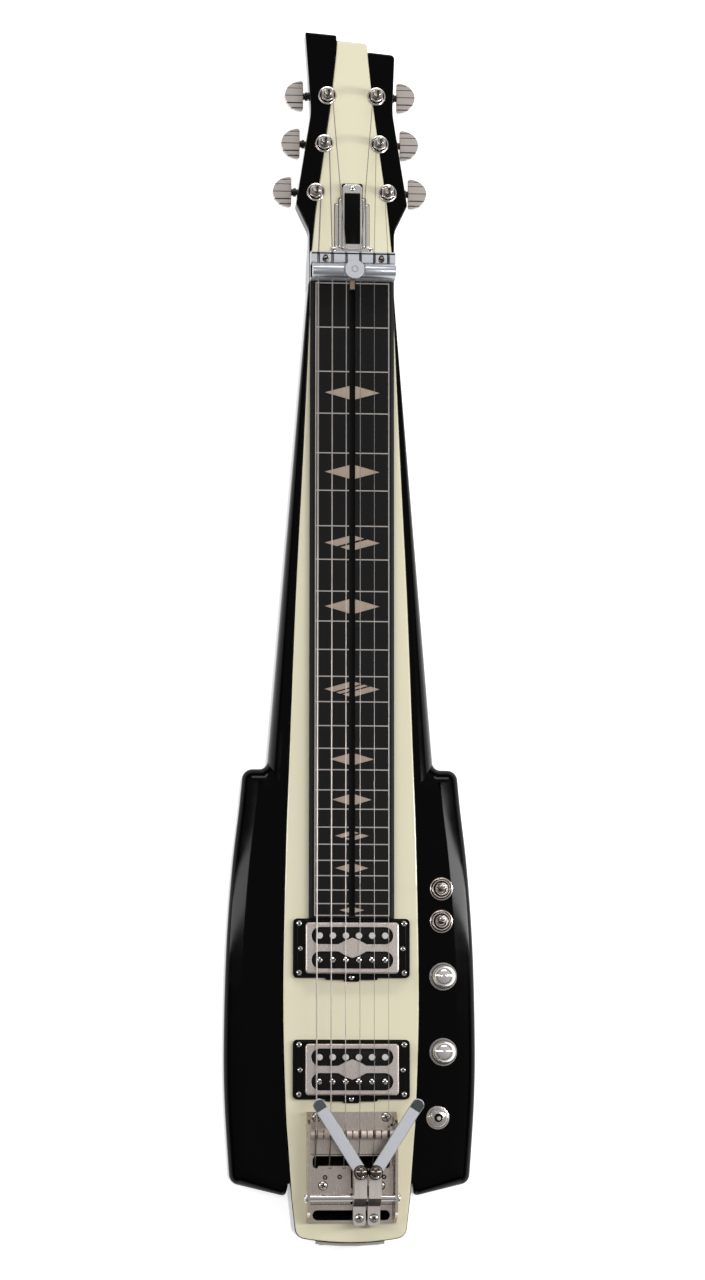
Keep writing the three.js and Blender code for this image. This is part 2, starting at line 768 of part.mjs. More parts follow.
function fretboard() {
  const half = boardWidth / 2;
  const profile = [[-half, coreTop], [half, coreTop], [half, boardTop - boardBevelDrop],
    [half - boardBevelWidth, boardTop], [-half + boardBevelWidth, boardTop], [-half, boardTop - boardBevelDrop]];
  const board = drawnAlong(profile, [fromNut(boardEndFromNut), fromNut(seat)]);
  const groove = centreLineGroove([fromNut(boardEndFromNut - 2 * overrun), overrun], coreTop + grooveFloor);
  return cutBy(board, groove, ...inlayPockets());
}

// Border line and fret lines of one side, drawn as one comb
function fretLines(sign) {
  const outer = boardWidth / 2 - borderInset;
  const border = outer - lineWidth;
  const inner = grooveWidth / 2 + seat;
  const places = [firstLineFromNut, ...Array.from({ length: fretCount - 1 }, (_, i) => fretFromNut(i + 1)),
    fretFromNut(fretCount) - lineWidth];
  const first = fromNut(places[0]) + lineWidth / 2;
  const last = fromNut(places[places.length - 1]) - lineWidth / 2;
  const teeth = places.flatMap((distance) => {
    const y = fromNut(distance);
    const [y0, y1] = [y - lineWidth / 2, y + lineWidth / 2];
    return [[border, y1], [inner, y1], [inner, y0], [border, y0]];
  }).slice(1, -1);
  const outline = [[outer, first], ...teeth, [outer, last]].reverse().map(([x, y]) => [sign * x, y]);
  return raised(sign > 0 ? outline : outline.reverse(), [boardTop, boardTop + lineHeight]);
}

// Truss rod with its adjusting nut, and the stepped cover over it

function trussRod() {
  const z = coreTop - rodDepth;
  const rod = bar([0, fromNut(rodEndFromNut), z], [0, fromNut(-rodNutFromNut), z], rodRadius, smallSides);
  const nutFoot = fromNut(-rodNutFromNut + rodNutLength);
  return joined(rod, bar([0, nutFoot, z], [0, fromNut(-rodNutFromNut), z], rodNutRadius, hexSides));
}

function coverTier(width, start, length, height, radius) {
  const outline = roundedBox(span(width / 2), [fromNut(-start), fromNut(-start - length)], radius);
  return softSlab(outline, [coreTop, coreTop + height], coverInlayDepth, coverInlayDepth);
}

function trussRodCover() {
  const tiers = [
    coverTier(coverFootWidth, coverStart - coverFootLength / 2, coverFootLength, coverLowHeight, coverCorner),
    coverTier(coverLowWidth, coverStart + coverCorner, coverLowLength, coverLowHeight, coverCorner),
    coverTier(coverMidWidth, coverStart + coverCorner, coverMidLength, coverMidHeight, coverCorner),
    coverTier(coverWidth, coverStart, coverLength, coverHeight, coverCorner),
  ];
  const inlayFloor = coreTop + coverHeight - coverInlayDepth;
  const recess = block(span(coverInlayWidth / 2),
    [fromNut(-coverInlayStart), fromNut(-coverInlayStart - coverInlayLength)],
    [inlayFloor, coreTop + coverHeight + overrun]);
  return cutBy(joined(...tiers), recess);
}

// Nut: base, slotted guide blocks and the front ridge that the strings bear on

function nutScrewHoles(z0, z1) {
  const y = fromNut(-(nutLength - nutBlockLength / 2));
  return [-2 * nutSpacing, 2 * nutSpacing].map((x) => bar([x, y, z0], [x, y, z1], nutScrewHoleRadius, smallSides));
}

function nut() {
  const rear = fromNut(-nutLength);
  const blockTop = stringLevel + nutBlockRise;
  const baseTop = coreTop + nutBaseHeight;
  const ridgeTop = stringLevel - heaviest - seat / 2;
  const profile = [[0, coreTop], [0, ridgeTop], [nutRidgeLength / 2, ridgeTop], [nutRidgeLength, baseTop],
    [rear - nutBlockLength, baseTop], [rear - nutBlockLength, blockTop], [rear, blockTop],
    [rear, coreTop + nutLipHeight], [rear + nutLipLength, coreTop + nutLipHeight], [rear + nutLipLength, coreTop]];
  const whole = drawnAcross(profile, span(nutWidth / 2));
  const slots = stringNumbers.map((number) => {
    const x = acrossAtNut(number);
    return block([x - nutSlotWidth / 2, x + nutSlotWidth / 2],
      [rear - nutBlockLength - overrun, rear + nutLipLength + overrun],
      [coreTop + nutLipHeight, blockTop + overrun]);
  });
  const stemWay = centreLineGroove([-overrun, capoRadius * 2], coreTop + grooveFloor);
  return cutBy(whole, ...slots, stemWay, ...nutScrewHoles(blockTop - nutScrewDepth, blockTop + overrun));
}

// Capo: a shoe in the groove carries a stem, the bar rides on the stem and the wheel screws it down

const capoY = fromNut(capoFromNut);
const capoBarLevel = stringLevel + heaviest + capoTravelGap + capoLift + capoRadius;
const capoFlat = capoBarLevel + capoRadius - capoFlatDrop;

function capoShoe() {
  const foot = grooveFootWidth / 2 - seat;
  const neck = grooveWidth / 2 - seat;
  const floor = coreTop + grooveFloor + seat;
  const shelf = floor + grooveFootHeight - 2 * seat;
  const front = capoY - shoeFrontReach;
  const profile = [[-foot, floor], [foot, floor], [foot, shelf], [neck, shelf], [neck, boardTop - shoeHeadDrop],
    [-neck, boardTop - shoeHeadDrop], [-neck, shelf], [-foot, shelf]];
  const shoe = drawnAlong(profile, [front, front + shoeLength]);
  const stem = bar([0, capoY, floor], [0, capoY, capoFlat + stemRise], stemRadius, smallSides);
  return joined(shoe, stem);
}

function capoBar() {
  const half = capoLength / 2;
  const whole = bar([-half, capoY, capoBarLevel], [half, capoY, capoBarLevel], capoRadius);
  const flat = block(span(capoFlatHalf), [capoY - capoRadius, capoY + capoRadius],
    [capoFlat, capoBarLevel + 2 * capoRadius]);
  const bore = bar([0, capoY, stringLevel], [0, capoY, capoFlat + overrun], stemRadius + seat, smallSides);
  return cutBy(whole, flat, bore);
}

function capoWheel() {
  const foot = capoFlat + seat;
  const top = foot + wheelHeight;
  const bore = stemRadius + seat;
  return turned([[bore, foot], [wheelRadius - seat, foot], [wheelRadius, foot + seat], [wheelRadius, top - seat],
    [wheelRadius - seat, top], [0, top], [0, foot + wheelBoreDepth + seat], [bore, foot + wheelBoreDepth + seat],
    [bore, foot]], [0, capoY]);
}

// Tuners

function tunerHousing({ x, y }) {
  const top = headFoot;
  const floor = headFoot - housingHeight;
  const box = softSlab(roundedBox([x - housingWidth / 2, x + housingWidth / 2],
    [y - housingLength / 2 + wormOffset / 2, y + housingLength / 2 + wormOffset / 2], housingCorner),
  [floor, top], leastRadius, leastRadius, housingCorner);
  const sleeve = turned([[0, floor + housingHeight / 2], [sleeveRadius, floor + housingHeight / 2],
    [sleeveRadius, coreTop], [collarRadius, coreTop], [collarRadius, coreTop + collarHeight / 2],
    [collarRadius - collarHeight / 2, coreTop + collarHeight], [collarNutRadius, coreTop + collarHeight],
    [collarNutRadius, coreTop + collarHeight + collarNutHeight], [0, coreTop + collarHeight + collarNutHeight]],
  [x, y], smallSides);
  const bore = bar([x, y, floor + housingCorner], [x, y, coreTop + postHeight], postRadius + seat, smallSides);
  return joined(box, sleeve).subtract(bore);
}

function tunerPost({ x, y }) {
  const foot = headFoot - housingHeight + housingCorner + seat;
  const top = coreTop + postHeight;
  const waist = postRadius - postWaistDrop;
  const seatZ = windingFoot();
  const head = turned([[0, foot], [postRadius, foot], [postRadius, seatZ - seat], [waist, seatZ],
    [waist, seatZ + windingRise()], [postRadius, seatZ + windingRise() + seat], [postRadius, top - seat],
    [postRadius - seat, top], [0, top]], [x, y], smallSides);
  const slot = block([x - postSlotWidth / 2, x + postSlotWidth / 2], [y - 2 * postRadius, y + 2 * postRadius],
    [top - postSlotDepth, top + overrun]);
  return head.subtract(slot);
}

function windingFoot() {
  return coreTop + collarHeight + collarNutHeight + collarStem;
}

function windingRise() {
  return windingTurns * (2 * heaviest + windingGap) + 2 * (heaviest + seat);
}

function wormAxis({ y }) {
  return { y: y + wormOffset, z: headFoot - wormDrop };
}

// The housing's side hole for the button's shaft
function wormBore(spot) {
  const { y, z } = wormAxis(spot);
  const face = spot.x + (spot.sign * housingWidth) / 2;
  return bar([face - spot.sign * (buttonShaftEntry + seat), y, z], [face + spot.sign * overrun, y, z],
    buttonShaftRadius + seat, smallSides);
}

function tunerButton(spot) {
  const { y, z } = wormAxis(spot);
  const face = spot.x + (spot.sign * housingWidth) / 2;
  const inner = spot.sign * spot.buttonHalf;
  const outer = inner + spot.sign * buttonWidth;
  const half = buttonLength / 2;
  const shape = [corner(0, -half, buttonInnerCorner), corner(buttonWidth, -half, buttonOuterCorner),
    corner(buttonWidth, half, buttonOuterCorner), corner(0, half, buttonInnerCorner)];
  const flat = outlineOf(spot.sign > 0 ? shape : mirrored(shape)).map(([u, v]) => [u + inner, v + y]);
  const blank = raised(flat, [z - buttonThickness / 2, z + buttonThickness / 2]);
  const across = [Math.min(inner, outer) - overrun, Math.max(inner, outer) + overrun];
  const steps = buttonStepShares.map(([lengthShare, thicknessShare]) => {
    const rise = (buttonThickness * thicknessShare) / 2;
    return block(across, [y - half * lengthShare, y + half * lengthShare], [z - rise, z + rise]);
  });
  const shaft = bar([face - spot.sign * buttonShaftEntry, y, z], [inner + spot.sign * overrun, y, z],
    buttonShaftRadius, smallSides);
  return joined(blank.intersect(joined(...steps)), shaft);
}

// Strings: a route of points, and a tube that takes its rings exactly at them

class StringRoute extends THREE.Curve {
  constructor(points) {
    super();
    this.points = points;
  }

  getPointAt(share) {
    return this.points[Math.round(share * (this.points.length - 1))].clone();
  }

  getTangentAt(share) {
    const i = Math.round(share * (this.points.length - 1));
    const here = this.points[i];
    const before = i > 0 ? here.clone().sub(this.points[i - 1]).normalize() : new THREE.Vector3();
    const next = this.points[i + 1] ?? here;
    const after = next.clone().sub(here).normalize();
    return before.add(after).normalize();
  }
}

function stringTube(points, radius) {
  const ring = Array.from({ length: stringSides }, (_, i) => {
    const angle = (i / stringSides) * 2 * Math.PI;
    return new THREE.Vector2(radius * Math.cos(angle), radius * Math.sin(angle));
  });
  const route = new StringRoute(points);
  const settings = { steps: points.length - 1, bevelEnabled: false, extrudePath: route };
  return solidOf(new THREE.ExtrudeGeometry(new THREE.Shape(ring), settings));
}

function spotOfString(number) {
  const bass = number > stringCount / 2;
  const nth = bass ? stringCount + 1 - number : number;
  return tunerSpots.find((spot) => spot.side === (bass ? 'bass' : 'treble') && spot.number === nth);
}

// The turns round a post, from their loose end to where the string leaves for the nut
function windingPoints(number) {
  const spot = spotOfString(number);
  const radius = gaugeOf(number);
  const ringRadius = postRadius - postWaistDrop + radius + seat;
  const pitch = 2 * radius + windingGap;
  const wayX = acrossAtNut(number) - spot.x;
  const wayY = fromNut(-nutLength) - spot.y;
  const leave = Math.atan2(wayY, wayX) - spot.sign * (Math.PI / 2 - Math.asin(ringRadius / Math.hypot(wayX, wayY)));
  const foot = windingFoot() + radius + seat;
  const count = windingTurns * windingSteps;
  return Array.from({ length: count + 1 }, (_, i) => {
    const back = (count - i) / windingSteps;
    const angle = leave - spot.sign * back * 2 * Math.PI;
    return new THREE.Vector3(spot.x + ringRadius * Math.cos(angle), spot.y + ringRadius * Math.sin(angle),
      foot + back * pitch);
  });
}

// A ball end sits behind the lip that holds it: the anchor plate's, or the leg of a bender arm
function ballSeat(number) {
  const lip = fromSaddle(anchorFromSaddle + anchorLipThickness);
  const back = benderStrings.includes(number) ? pivotY + armLegBack : lip;
  return back - ballRadius - seat / 2;
}

// Over the saddle the string follows the roller down to the line of its ball end
function stringPoints(number) {
  const x = acrossAtNut(number);
  const end = acrossAtBridge(number);
  const lead = nutBlockLength / 2;
  const ballY = ballSeat(number);
  const back = fromSaddle(0) - ballY;
  const drop = ballLevel - saddleAxis;
  const wrap = Math.atan2(back, drop) - Math.acos(saddleAxisDrop / Math.hypot(back, drop));
  const overSaddle = [0, 1, 2].map((step) => new THREE.Vector3(
    end,
    fromSaddle(saddleAxisDrop * Math.sin((wrap * step) / 2)),
    saddleAxis + saddleAxisDrop * Math.cos((wrap * step) / 2),
  ));
  return [
    ...windingPoints(number),
    new THREE.Vector3(x, fromNut(-nutLength + lead), stringLevel - nutBlockRise / 2),
    new THREE.Vector3(x, fromNut(-nutRidgeLength / 2), stringLevel),
    ...overSaddle,
    new THREE.Vector3(end, ballY, ballLevel),
  ];
}

function leastLoopGap(number) {
  const points = windingPoints(number);
  const radius = gaugeOf(number);
  let least = Infinity;
  for (let i = 0; i < points.length; i += 1) {
    for (let j = i + windingSteps / 2; j < points.length; j += 1) {
      least = Math.min(least, points[i].distanceTo(points[j]) - 2 * radius);
    }
  }
  return least;
}

function stringPiece(number) {
  const points = stringPoints(number);
  const end = points[points.length - 1];
  const tube = stringTube(points, gaugeOf(number));
  const [x0, x1] = [end.x - ballLength / 2, end.x + ballLength / 2];
  return joined(tube, bar([x0, end.y, end.z], [x1, end.y, end.z], ballRadius, smallSides));
}

// Pickups

const ringWidth = pickupLength + 2 * ringEndMargin;
const ringStepWidth = pickupLength + 2 * ringStepEndMargin;
const ringStepLength = pickupWidth + 2 * ringStepSideMargin;
const ringTabWidth = pickupLength - 2 * ringTabSetback;
const windowLength = pickupLength - 2 * windowSetback;
const windowWidth = pickupWidth * windowShare;
const bobbinLength = pickupLength - 2 * bobbinSetback;
const bobbinWidth = pickupWidth * bobbinShare;
const poleRow = pickupWidth * poleRowShare;
const poleSpacing = (windowLength - poleEndRoom) / (stringCount - 1);

function pickupRing(distance) {
  const y = fromSaddle(-distance);
  const tier = (width, length, levels) => softSlab(
    roundedBox(span(width / 2), [y - length / 2, y + length / 2], ringCorner), levels, leastRadius, leastRadius,
  );
  const foot = tier(ringWidth, ringLength, [coreTop, coreTop + ringFootHeight]);
  const step = tier(ringStepWidth, ringStepLength, [coreTop, coreTop + ringHeight]);
  const tab = softSlab(roundedBox(span(ringTabWidth / 2), [y - ringLength / 2 - ringTabLength, y], ringCorner / 2),
    [coreTop, coreTop + ringFootHeight], leastRadius, leastRadius);
  const hole = raised(outlineOf(roundedBox(span(pickupLength / 2 + seat), [y - pickupWidth / 2 - seat,
    y + pickupWidth / 2 + seat], pickupCorner)), [coreTop - overrun, coreTop + ringHeight + overrun]);
  const screwX = (ringWidth + pickupLength) / 4;
  const screwY = ringStepLength / 2 - ringCorner;
  const screws = [[-screwX, -screwY], [screwX, -screwY], [screwX, screwY], [-screwX, screwY]].map(([x, run]) => (
    bar([x, y + run, coreTop - overrun], [x, y + run, coreTop + ringHeight + overrun], ringCorner / 2, smallSides)
  ));
  return cutBy(joined(foot, step, tab), hole, ...screws);
}

const pickupTop = stringLevel - pickupTopGap;
const pickupFoot = pickupTop - pickupCoverHeight;

// The cover's pointed centre, whose two ends reach into the windows
function coverCentre(y) {
  const edge = poleRow - windowWidth / 2;
  const side = [
    [centreHalfWidth, edge], [centreKnee, edge + centreKneeRise], [0, edge + centreTipRise],
    [-centreKnee, edge + centreKneeRise], [-centreHalfWidth, edge],
  ];
  return [...side.map(([x, run]) => [x, y + run]), ...side.map(([x, run]) => [-x, y - run])];
}

function pickupCover(distance) {
  const y = fromSaddle(-distance);
  const outer = softSlab(roundedBox(span(pickupLength / 2), [y - pickupWidth / 2, y + pickupWidth / 2], pickupCorner),
    [pickupFoot, pickupTop], pickupWall, pickupWall);
  const hollow = [y - pickupWidth / 2 + pickupWall, y + pickupWidth / 2 - pickupWall];
  const inner = raised(outlineOf(roundedBox(span(pickupLength / 2 - pickupWall), hollow,
    pickupCorner - pickupWall)), [pickupFoot - overrun, pickupTop - pickupWall]);
  const windows = [-1, 1].map((side) => {
    const row = y + side * poleRow;
    return raised(stadium(span(windowLength / 2), [row - windowWidth / 2, row + windowWidth / 2]),
      [pickupFoot, pickupTop + overrun]);
  });
  return joined(cutBy(outer, inner, ...windows), raised(coverCentre(y), [pickupTop - pickupWall, pickupTop]));
}

function pickupCoils(distance) {
  const y = fromSaddle(-distance);
  const plate = block(span(pickupLength / 2 - pickupWall - seat),
    [y - pickupWidth / 2 + pickupWall + seat, y + pickupWidth / 2 - pickupWall - seat],
    [pickupFoot - bobbinFloor, pickupFoot - bobbinFloor + pickupPlateThickness]);
  const halves = [-1, 1].map((side) => {
    const row = y + side * poleRow;
    const bobbin = raised(stadium(span(bobbinLength / 2), [row - bobbinWidth / 2, row + bobbinWidth / 2]),
      [pickupFoot - bobbinFloor, pickupTop - pickupWall - seat]);
    const poles = stringNumbers.map((number) => {
      const x = ((stringCount + 1) / 2 - number) * poleSpacing;
      return bar([x, row, pickupFoot], [x, row, pickupTop + poleRise], poleRadius, boltSides);
    });
    return joined(bobbin, ...poles);
  });
  return joined(plate, ...halves);
}

// Controls

function bezelProfile(steps) {
  return bezelSteps.slice(0, steps).flatMap(([radiusShare, height], i) => {
    const below = i === 0 ? 0 : bezelSteps[i - 1][1];
    return [[radiusShare * bezelRadius, wingTop + below], [radiusShare * bezelRadius, wingTop + height]];
  });
}

function switchBezel([x, distance]) {
  const inner = bezelHoleRadius;
  const foot = wingTop - bushingDepth;
  const floor = wingTop - leverPivotRadius;
  const steps = bezelProfile(bezelSteps.length);
  const top = steps[steps.length - 1][1];
  return turned([[0, foot], [bushingRadius, foot], [bushingRadius, wingTop], ...steps, [inner, top],
    [inner, floor], [0, floor]], [x, fromSaddle(distance)]);
}

function switchLever([x, distance]) {
  const y = fromSaddle(distance);
  const tilt = THREE.MathUtils.degToRad(leverTilt);
  const pivot = [x, y, wingTop + leverPivotRise];
  const tip = [x, y + leverLength * Math.sin(tilt), pivot[2] + leverLength * Math.cos(tilt)];
  const rod = bar(pivot, tip, leverRodRadius, boltSides);
  const ball = new THREE.SphereGeometry(leverBallRadius, smallSides, hexSides).translate(...tip);
  const knuckle = new THREE.SphereGeometry(leverPivotRadius, boltSides, hexSides).translate(...pivot);
  return joined(rod, solidOf(ball), solidOf(knuckle));
}

function knob([x, distance]) {
  const foot = wingTop + knobGap;
  const shaftFoot = wingTop - knobShaftDepth;
  const profile = knobProfileShares.map(([radiusShare, heightShare]) => (
    [radiusShare * knobRadius, foot + heightShare * knobHeight]
  ));
  return turned([[0, shaftFoot], [knobShaftRadius, shaftFoot], [knobShaftRadius, foot], [knobRadius - seat, foot],
    ...profile, [0, foot + knobHeight]], [x, fromSaddle(distance)]);
}

function outputJack([x, distance]) {
  const y = fromSaddle(distance);
  const foot = wingTop - jackBarrelDepth;
  const steps = bezelProfile(bezelSteps.length - 1);
  const shelf = steps[steps.length - 1][1];
  const nutTop = shelf + jackNutHeight;
  const lipTop = nutTop + jackLipHeight;
  const body = turned([[0, foot], [jackBarrelRadius, foot], [jackBarrelRadius, wingTop], ...steps,
    [jackLipRadius, shelf], [jackLipRadius, lipTop], [jackBoreRadius, lipTop],
    [jackBoreRadius, foot + jackFloor], [0, foot + jackFloor]], [x, y]);
  const hexNut = bar([x, y, shelf - seat], [x, y, nutTop], jackNutRadius, hexSides);
  const bore = bar([x, y, foot + jackFloor], [x, y, lipTop + overrun], jackBoreRadius);
  return joined(body, hexNut).subtract(bore);
}

// Bridge

const armMiddles = benderStrings.map(acrossAtBridge);
const armWindow = [
  Math.min(...armMiddles) - armWidth / 2 - overrun,
  Math.max(...armMiddles) + armWidth / 2 + overrun,
];

function bridgeBase() {
  const half = bridgeWidth / 2;
  const plate = block(span(half), [bridgeRear, bridgeFront], [coreTop, plateTop]);
  const wallProfile = [[bridgeRear, coreTop], [bridgeFront, coreTop], [bridgeFront, plateTop + wallThickness],
    [bridgeFront - wallFrontRun, wallTop], [bridgeRear + wallRearRun, wallTop],
    [bridgeRear, plateTop + wallThickness]];
  const walls = [[-half, -half + wallThickness], [half - wallThickness, half]].map((range) => (
    drawnAcross([...wallProfile].reverse(), range)
  ));
  const slots = [
    [frontSlotFromSaddle, frontSlotWidth, frontSlotCorner],
    [rearSlotFromSaddle, rearSlotWidth, rearSlotWidth / 2 - weldDistance],
  ].map(([start, width, radius]) => raised(
    outlineOf(roundedBox(span(slotHalf), [fromSaddle(start + width), fromSaddle(start)], radius)),
    [coreTop - overrun, plateTop + overrun],
  ));
  const window = block(armWindow, [pivotY - armBossRadius, fromSaddle(frontSlotFromSaddle + frontSlotWidth / 2)],
    [coreTop - overrun, plateTop + overrun]);
  const shaftHoles = [[pivotY, pivotHeight, pivotRadius], [fromSaddle(0), saddleAxis, saddleEndRadius]].map(
    ([y, z, radius]) => bar([-half - overrun, y, z], [half + overrun, y, z], radius + seat),
  );
  const screws = [
    ...[-1, 1].map((side) => [side * frontScrewHalf, fromSaddle(-frontScrewFromSaddle), frontScrewRadius]),
    ...[-1, 1].map((side) => [side * anchorScrewHalf, fromSaddle(anchorScrewFromSaddle), anchorScrewRadius]),
  ].map(([x, y, radius]) => bar([x, y, coreTop - overrun], [x, y, plateTop + overrun], radius, smallSides));
  return cutBy(joined(plate, ...walls), ...slots, window, ...shaftHoles, ...screws);
}

// The saddle: rollers side by side on one shaft, grooved under each string
function saddleBar() {
  const half = bridgeWidth / 2 - seat;
  const inner = bridgeWidth / 2 - wallThickness - seat;
  const profile = [[0, -half], [saddleEndRadius, -half], [saddleEndRadius, -inner], [saddleRadius, -inner]];
  const stops = [];
  stringNumbers.forEach((number) => stops.push([acrossAtBridge(number), saddleGrooveWidth, saddleGrooveRadius]));
  stringNumbers.slice(1).forEach((number) => {
    stops.push([acrossAtBridge(number) + bridgeSpacing / 2, saddleMidGroove * 2, saddleRadius - saddleMidGroove]);
  });
  stops.sort((a, b) => a[0] - b[0]);
  for (const [x, width, radius] of stops) {
    profile.push([saddleRadius, x - width / 2], [radius, x], [saddleRadius, x + width / 2]);
  }
  profile.push([saddleRadius, inner], [saddleEndRadius, inner], [saddleEndRadius, half], [0, half]);
  const points = profile.map(([radius, x]) => new THREE.Vector2(radius, x));
  const geometry = new THREE.LatheGeometry(points, boltSides);
  geometry.rotateZ(-Math.PI / 2);
  geometry.translate(0, fromSaddle(0), saddleAxis);
  return solidOf(geometry);
}

function anchorPlate() {
  const front = fromSaddle(anchorFromSaddle);
  const rear = front - anchorLength;
  const top = plateTop + anchorHeight;
  const lipFoot = coreTop - anchorLipDrop;
  const flange = block(span(anchorHalf), [rear, front], [plateTop, top]);
  const lip = block(span(slotHalf - frontSlotWidth / 2), [front - anchorLipThickness, front],
    [lipFoot, plateTop + overrun]);
  const armGap = block(armWindow, [rear + anchorBridgeLength, front + overrun], [lipFoot - overrun, top + overrun]);
  const lowBridge = block(armWindow, [rear - overrun, rear + 2 * anchorBridgeLength],
    [plateTop + anchorBridgeHeight, top + overrun]);
  const fixed = stringNumbers.filter((number) => !benderStrings.includes(number)).map(acrossAtBridge);
  const notches = fixed.map((x) => (
    bar([x, front, plateTop - overrun], [x, front, top + overrun], anchorNotchRadius, smallSides)
  ));
  const entries = fixed.map((x) => block([x - stringEntryWidth / 2, x + stringEntryWidth / 2],
    [front - anchorLipThickness - overrun, front + overrun], [lipFoot - overrun, coreTop]));
  const screws = [-1, 1].map((side) => bar([side * anchorScrewHalf, fromSaddle(anchorScrewFromSaddle), coreTop],
    [side * anchorScrewHalf, fromSaddle(anchorScrewFromSaddle), top + overrun], anchorScrewRadius, smallSides));
  return cutBy(joined(flange, lip), armGap, lowBridge, ...notches, ...entries, ...screws);
}

function pivotShaft() {
  const wall = bridgeWidth / 2 + seat;
  const end = wall + pivotHeadLength;
  const rod = bar([-end, pivotY, pivotHeight], [end, pivotY, pivotHeight], pivotRadius);
  const heads = [-1, 1].map((side) => (
    bar([side * wall, pivotY, pivotHeight], [side * end, pivotY, pivotHeight], pivotHeadRadius)
  ));
  return joined(rod, ...heads);
}

// A bender arm: palm plate in front of the pivot, string leg below it and a stop block behind it
function benderArm(middle) {
  const blockFoot = armRestGap - pivotRise;
  const armBlockTop = blockFoot + armBlockHeight;
  const armShelfFoot = blockFoot + armShelfRise;
  const plateFoot = armPlateTop - armPlateThickness;
  const side = [
    [-armBlockRear, blockFoot], [-armBlockFront, blockFoot], [-armBlockFront + armWebRear, armShelfFoot],
    [armLegBack, armShelfFoot], [armLegBack, armLegFoot], [armLegFront, armLegFoot], [armLegFront, armShelfTop],
    [armWebFront, armShelfTop], [armWebFront, plateFoot], [armReach, plateFoot], [armReach, armPlateTop],
    [0, armPlateTop], [-armWebRear, armBlockTop + armBossRadius], [-armBlockFront, armBlockTop],
    [-armBlockRear, armBlockTop],
  ].map(([u, v]) => [pivotY + u, pivotHeight + v]);
  const width = [middle - armWidth / 2, middle + armWidth / 2];
  const cast = drawnAcross(side, width);
  const boss = bar([width[0], pivotY, pivotHeight], [width[1], pivotY, pivotHeight], armBossRadius);
  const bore = bar([width[0] - overrun, pivotY, pivotHeight], [width[1] + overrun, pivotY, pivotHeight],
    pivotRadius + seat);
  const plan = outlineOf([
    corner(width[0], pivotY - armBlockRear, armWidth / 4),
    corner(width[1], pivotY - armBlockRear, armWidth / 4),
    corner(width[1], pivotY + armReach, armWidth / 2 - seat),
    corner(width[0], pivotY + armReach, armWidth / 2 - seat),
  ]);
  const trimmed = joined(cast, boss).intersect(raised(plan, [0, wallTop + pivotHeight]));
  const entry = block([middle - stringEntryWidth / 2, middle + stringEntryWidth / 2],
    [pivotY + armLegBack - overrun, pivotY + armLegFront + overrun],
    [pivotHeight + armLegFoot - overrun, ballLevel + 2 * armLegBack * armEntryShare]);
  const studTop = pivotHeight + armPlateTop;
  const domeFoot = studTop + bendLeverThickness + 2 * seat;
  const dome = Array.from({ length: edgeSteps + 1 }, (_, i) => {
    const angle = ((i / edgeSteps) * Math.PI) / 2;
    return [domeRadius * Math.cos(angle), domeFoot + seat + (domeHeight - seat) * Math.sin(angle)];
  });
  dome[edgeSteps][0] = 0;
  const stud = turned([[0, studTop - overrun], [studRadius, studTop - overrun], [studRadius, domeFoot],
    [domeRadius, domeFoot], ...dome], [middle, pivotY + studFromPivot]);
  return joined(trimmed.subtract(bore).subtract(entry), stud);
}

// A palm lever: a flat strip with a rounded end, its tip bent up, swivelling on the arm's stud
function benderLever(middle, angle) {
  const half = bendLeverWidth / 2;
  const tipAngle = THREE.MathUtils.degToRad(bendLeverTipRise);
  const bend = bendLeverLength - bendLeverTipLength;
  const end = [bend + bendLeverTipLength * Math.cos(tipAngle), bendLeverTipLength * Math.sin(tipAngle)];
  const rise = bendLeverThickness;
  const side = [[-half, 0], [bend, 0], [end[0], end[1]], [end[0] - rise * Math.sin(tipAngle), end[1] + rise],
    [bend - rise * Math.tan(tipAngle / 2), rise], [-half, rise]];
  const strip = drawnAcross(side, span(half));
  const plan = outlineOf([corner(-half, -half, half - seat), corner(half, -half, half - seat),
    corner(half, end[0], half - overrun), corner(-half, end[0], half - overrun)]);
  const hole = bar([0, 0, -overrun], [0, 0, rise + overrun], studRadius + seat, smallSides);
  const lever = strip.intersect(raised(plan, [-overrun, end[1] + 2 * rise])).subtract(hole);
  const geometry = geometryOf(lever);
  geometry.rotateZ(THREE.MathUtils.degToRad(angle));
  geometry.translate(middle, pivotY + studFromPivot, pivotHeight + armPlateTop + seat);
  return solidOf(geometry);
}

// Tail plate: a strip bent to the tail's crown
function tailPlate() {
  const half = tailPlateWidth / 2;
  const steps = tailPlateSteps;
  const line = (offset) => Array.from({ length: steps + 1 }, (_, i) => {
    const x = -half + (i / steps) * tailPlateWidth;
    return [x, tailCrownAt(x) - offset];
  });
  const outline = [...line(seat + tailPlateThickness), ...line(seat).reverse()];
  const top = coreTop - tailPlateTopDrop;
  return raised(outline, [top - tailPlateHeight, top]);
}

// The assembly

addPiece('centre_core', 'cream', centreCore());
addPiece('body_wing_bass', 'black', bodyWing('bass'));
addPiece('body_wing_treble', 'black', bodyWing('treble'));
addPiece('head_wing_bass', 'black', headWing('bass'));
addPiece('head_wing_treble', 'black', headWing('treble'));
addPiece('fretboard', 'board', fretboard());
addPiece('fret_lines_bass', 'inlay', fretLines(-1));
addPiece('fret_lines_treble', 'inlay', fretLines(1));
addPiece('truss_rod', 'steel', trussRod());
addPiece('truss_rod_cover', 'chrome', trussRodCover());
addPiece('nut', 'chrome', nut());
addPiece('capo_shoe', 'brass', capoShoe());
addPiece('capo_bar', 'chrome', capoBar());
addPiece('capo_wheel', 'satin', capoWheel());

for (const spot of tunerSpots) {
  const tag = `${spot.side}_${spot.number}`;
  addPiece(`tuner_housing_${tag}`, 'chrome', tunerHousing(spot).subtract(wormBore(spot)));
  addPiece(`tuner_post_${tag}`, 'chrome', tunerPost(spot));
  addPiece(`tuner_button_${tag}`, 'nickel', tunerButton(spot));
}

